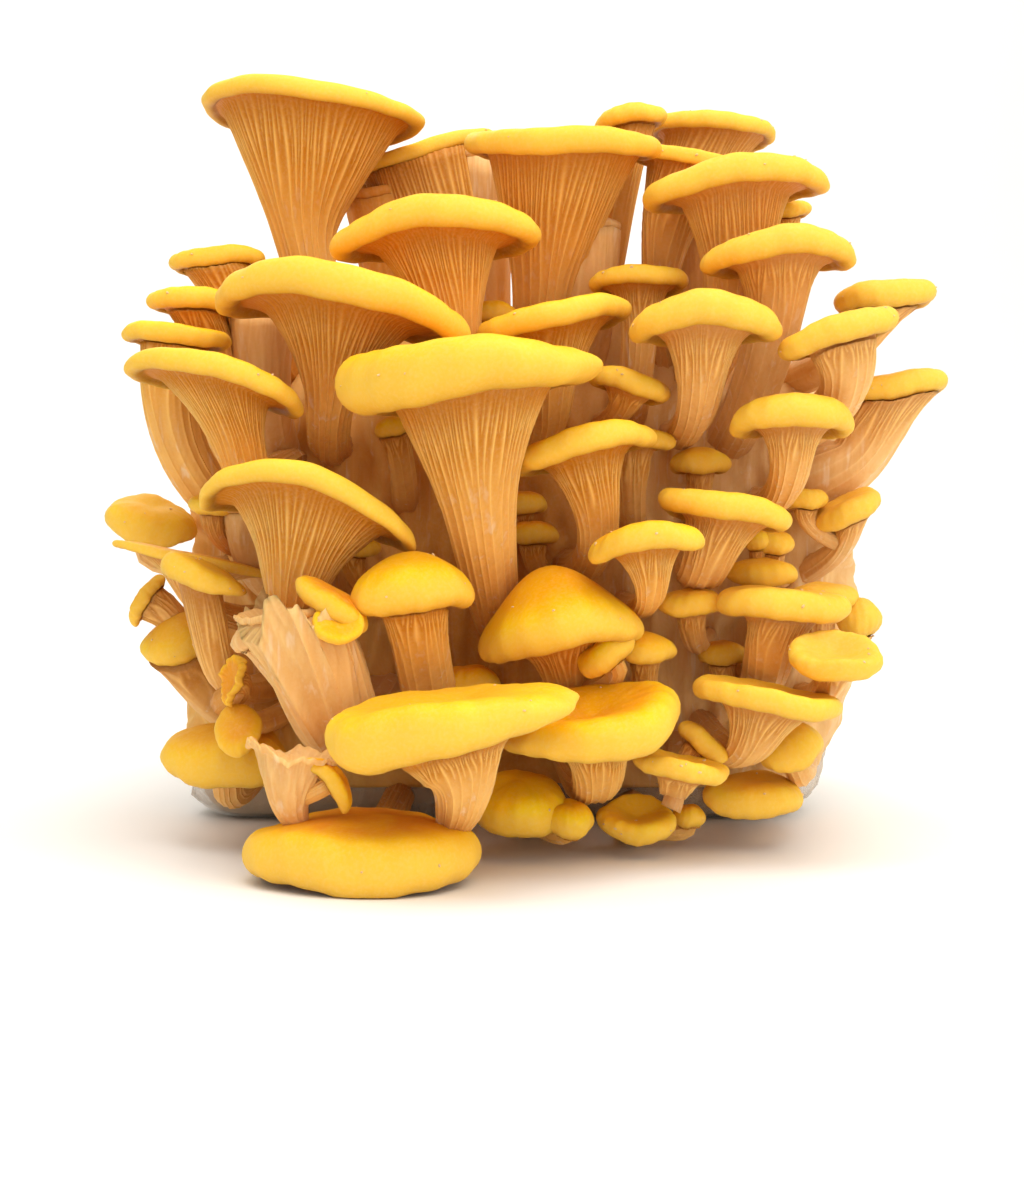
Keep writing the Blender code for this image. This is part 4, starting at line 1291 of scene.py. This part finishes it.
    def build(self, finish: bpy.types.Material) -> list[bpy.types.Object]:
        """Grows every mushroom, with its branches in its own piece, and strews the crumbs.

        Args:
            finish: Their material.

        Returns:
            The pieces.
        """
        growths: dict[str, Growth] = {}
        grown: dict[str, list[bpy.types.Mesh]] = {}
        for number, planned in enumerate(self.table):
            dip = 0.06 * planned.width if planned.dome < 2.5 and not planned.bare else 0.0
            form = replace(planned, neck=planned.neck * self.fuller, foot=planned.foot * self.fuller, dip=dip)
            host = form.root if isinstance(form.root, str) else form.name
            root = self.branch_root(growths[host], form) if isinstance(form.root, str) else form.root
            growths[form.name] = Growth(form, number, root)
            grown.setdefault(host, []).extend(self.skins(growths[form.name]))
        pieces = [self.join(name, meshes, finish) for name, meshes in grown.items()]
        for template in self.templates.values():
            bpy.data.meshes.remove(template)
        pieces.append(Crumbs().build(list(growths.values()), finish))
        return pieces

    @staticmethod
    def join(name: str, meshes: list[bpy.types.Mesh], finish: bpy.types.Material) -> bpy.types.Object:
        """Puts a mushroom's skins into one piece.

        Args:
            name: The node that the piece stands for.
            meshes: Its skins.
            finish: Its material.

        Returns:
            The piece.
        """
        if len(meshes) == 1:
            return add_piece(name, meshes[0], finish)
        whole = bmesh.new()
        for data in meshes:
            whole.from_mesh(data)
            bpy.data.meshes.remove(data)
        data = bpy.data.meshes.new(name)
        whole.to_mesh(data)
        whole.free()
        data.shade_smooth()
        return add_piece(name, data, finish)


@dataclass
class Crumbs:
    """Pale crumbs and spore dust that lie on the caps, from a fixed draw."""

    count: int = 260
    smallest: float = 0.16
    largest: float = 0.42
    seed: int = 11

    def build(self, growths: Sequence[Growth], finish: bpy.types.Material) -> bpy.types.Object:
        """Strews the crumbs over the tops and margins of the caps.

        Args:
            growths: The mushrooms.
            finish: Their material.

        Returns:
            The piece.
        """
        draw = np.random.default_rng(self.seed)
        wide = [growth for growth in growths if growth.form.width > 20 and not growth.form.bare]
        mesh = bmesh.new()
        for _ in range(self.count):
            growth = wide[draw.integers(len(wide))]
            ring = growth.top_ring(float(draw.choice((0.999, 0.99, 0.97, 0.9, 0.7, 0.4))))
            place = ring[draw.integers(len(ring))]
            size = draw.uniform(self.smallest, self.largest)
            turn = Matrix.Rotation(draw.uniform(0, math.tau), 4, "X") @ Matrix.Rotation(draw.uniform(0, math.tau), 4, "Z")
            shape = Matrix.Translation(Vector(place)) @ turn @ Matrix.Diagonal((size * 1.6, size, size * 0.8, 1))
            bmesh.ops.create_icosphere(mesh, subdivisions=1, radius=1.0, matrix=shape)
        piece = bpy.data.objects.new("crumbs", finish_mesh("crumbs", mesh))
        bpy.context.scene.collection.objects.link(piece)
        piece.data.materials.append(finish)
        Flush.carry(piece.data, "along", np.full(len(piece.data.vertices), 0.7))
        Flush.carry(piece.data, "ridge", np.full(len(piece.data.vertices), 1.0))
        Flush.carry(piece.data, "pale", np.full(len(piece.data.vertices), 1.0))
        Flush.carry(piece.data, "warm_and_shade", np.full(len(piece.data.vertices), 0.0))
        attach(piece, "root")
        return piece


# The studio


@dataclass
class Studio:
    """A pale sweep, soft light from above and in front, and the camera. Sizes here are metres."""

    floor_half: float = 2.2
    back_at: float = 1.3
    bend: float = 0.5

    def build(self) -> None:
        """Lays the floor, hangs the lights and places the camera."""
        self.lay_floor()
        self.light("key_above", (0.2, -0.5, 1.1), 1.0, 9.0, (1.0, 0.965, 0.91))
        self.light("fill_front", (0.4, -1.4, 0.5), 1.4, 4.0, (1.0, 0.98, 0.95))
        self.light("fill_right", (1.1, -0.5, 0.5), 0.9, 2.0, (1.0, 0.97, 0.93))
        self.light("wall_wash", (0.0, 0.1, 1.3), 1.6, 11.5, (1.0, 1.0, 1.0), (0.0, 1.3, 0.2))
        self.light("rim_back", (-0.5, 0.9, 1.15), 0.7, 3.5, (1.0, 0.99, 0.97))
        world = bpy.data.worlds.new("studio")
        world.use_nodes = True
        world.node_tree.nodes["Background"].inputs["Color"].default_value = (1.0, 0.99, 0.975, 1.0)
        world.node_tree.nodes["Background"].inputs["Strength"].default_value = 0.42
        bpy.context.scene.world = world
        bpy.context.scene.view_settings.view_transform = "Standard"
        VIEW.add_camera()

    def lay_floor(self) -> None:
        """Makes one sheet that runs under the object and bends up far behind it."""
        mesh = bmesh.new()
        bmesh.ops.create_grid(mesh, x_segments=1, y_segments=1, size=self.floor_half)
        far = [edge for edge in mesh.edges if all(vert.co.y > 0 for vert in edge.verts)]
        bmesh.ops.translate(mesh, vec=(0, self.back_at - self.floor_half, 0), verts=far[0].verts)
        wall = bmesh.ops.extrude_edge_only(mesh, edges=far)["geom"]
        top = [part for part in wall if isinstance(part, bmesh.types.BMVert)]
        bmesh.ops.translate(mesh, vec=(0, 0, 2.4), verts=top)
        bmesh.ops.bevel(mesh, geom=far, offset=self.bend, segments=12, profile=0.5, affect="EDGES", material=-1)
        data = bpy.data.meshes.new("pale_sweep")
        mesh.to_mesh(data)
        mesh.free()
        data.shade_smooth()
        data.materials.append(PaleFloor().material())
        floor = bpy.data.objects.new("pale_sweep", data)
        bpy.context.scene.collection.objects.link(floor)

    @staticmethod
    def light(
        name: str,
        place: Sequence[float],
        size: float,
        power: float,
        colour: Sequence[float],
        aim: Sequence[float] = (0.0, -0.08, 0.1),
    ) -> None:
        """Hangs a square soft light.

        Args:
            name: Its name.
            place: Where it hangs.
            size: Its side.
            power: Its power in watts.
            colour: Its colour.
            aim: The point that it faces.
        """
        data = bpy.data.lights.new(name, "AREA")
        data.size, data.energy, data.color = size, power, colour
        lamp = bpy.data.objects.new(name, data)
        lamp.location = place
        lamp.rotation_euler = (Vector(aim) - Vector(place)).to_track_quat("-Z", "Y").to_euler()
        bpy.context.scene.collection.objects.link(lamp)


def main() -> None:
    """Builds the block, its film, the flush and the studio, and reports each piece."""
    pieces = [BLOCK.build(ColonisedSawdust().material())]
    pieces.append(FilmBag(BLOCK).build(ClearFilm().material()))
    flesh = GoldenFlesh().material()
    pieces.append(FusedBase(BLOCK).build(flesh))
    pieces += Flush().build(flesh)
    Studio().build()
    for piece in pieces:
        log.info("%s: %d faces", piece.name, len(piece.data.polygons))


if __name__ == "__main__":
    main()
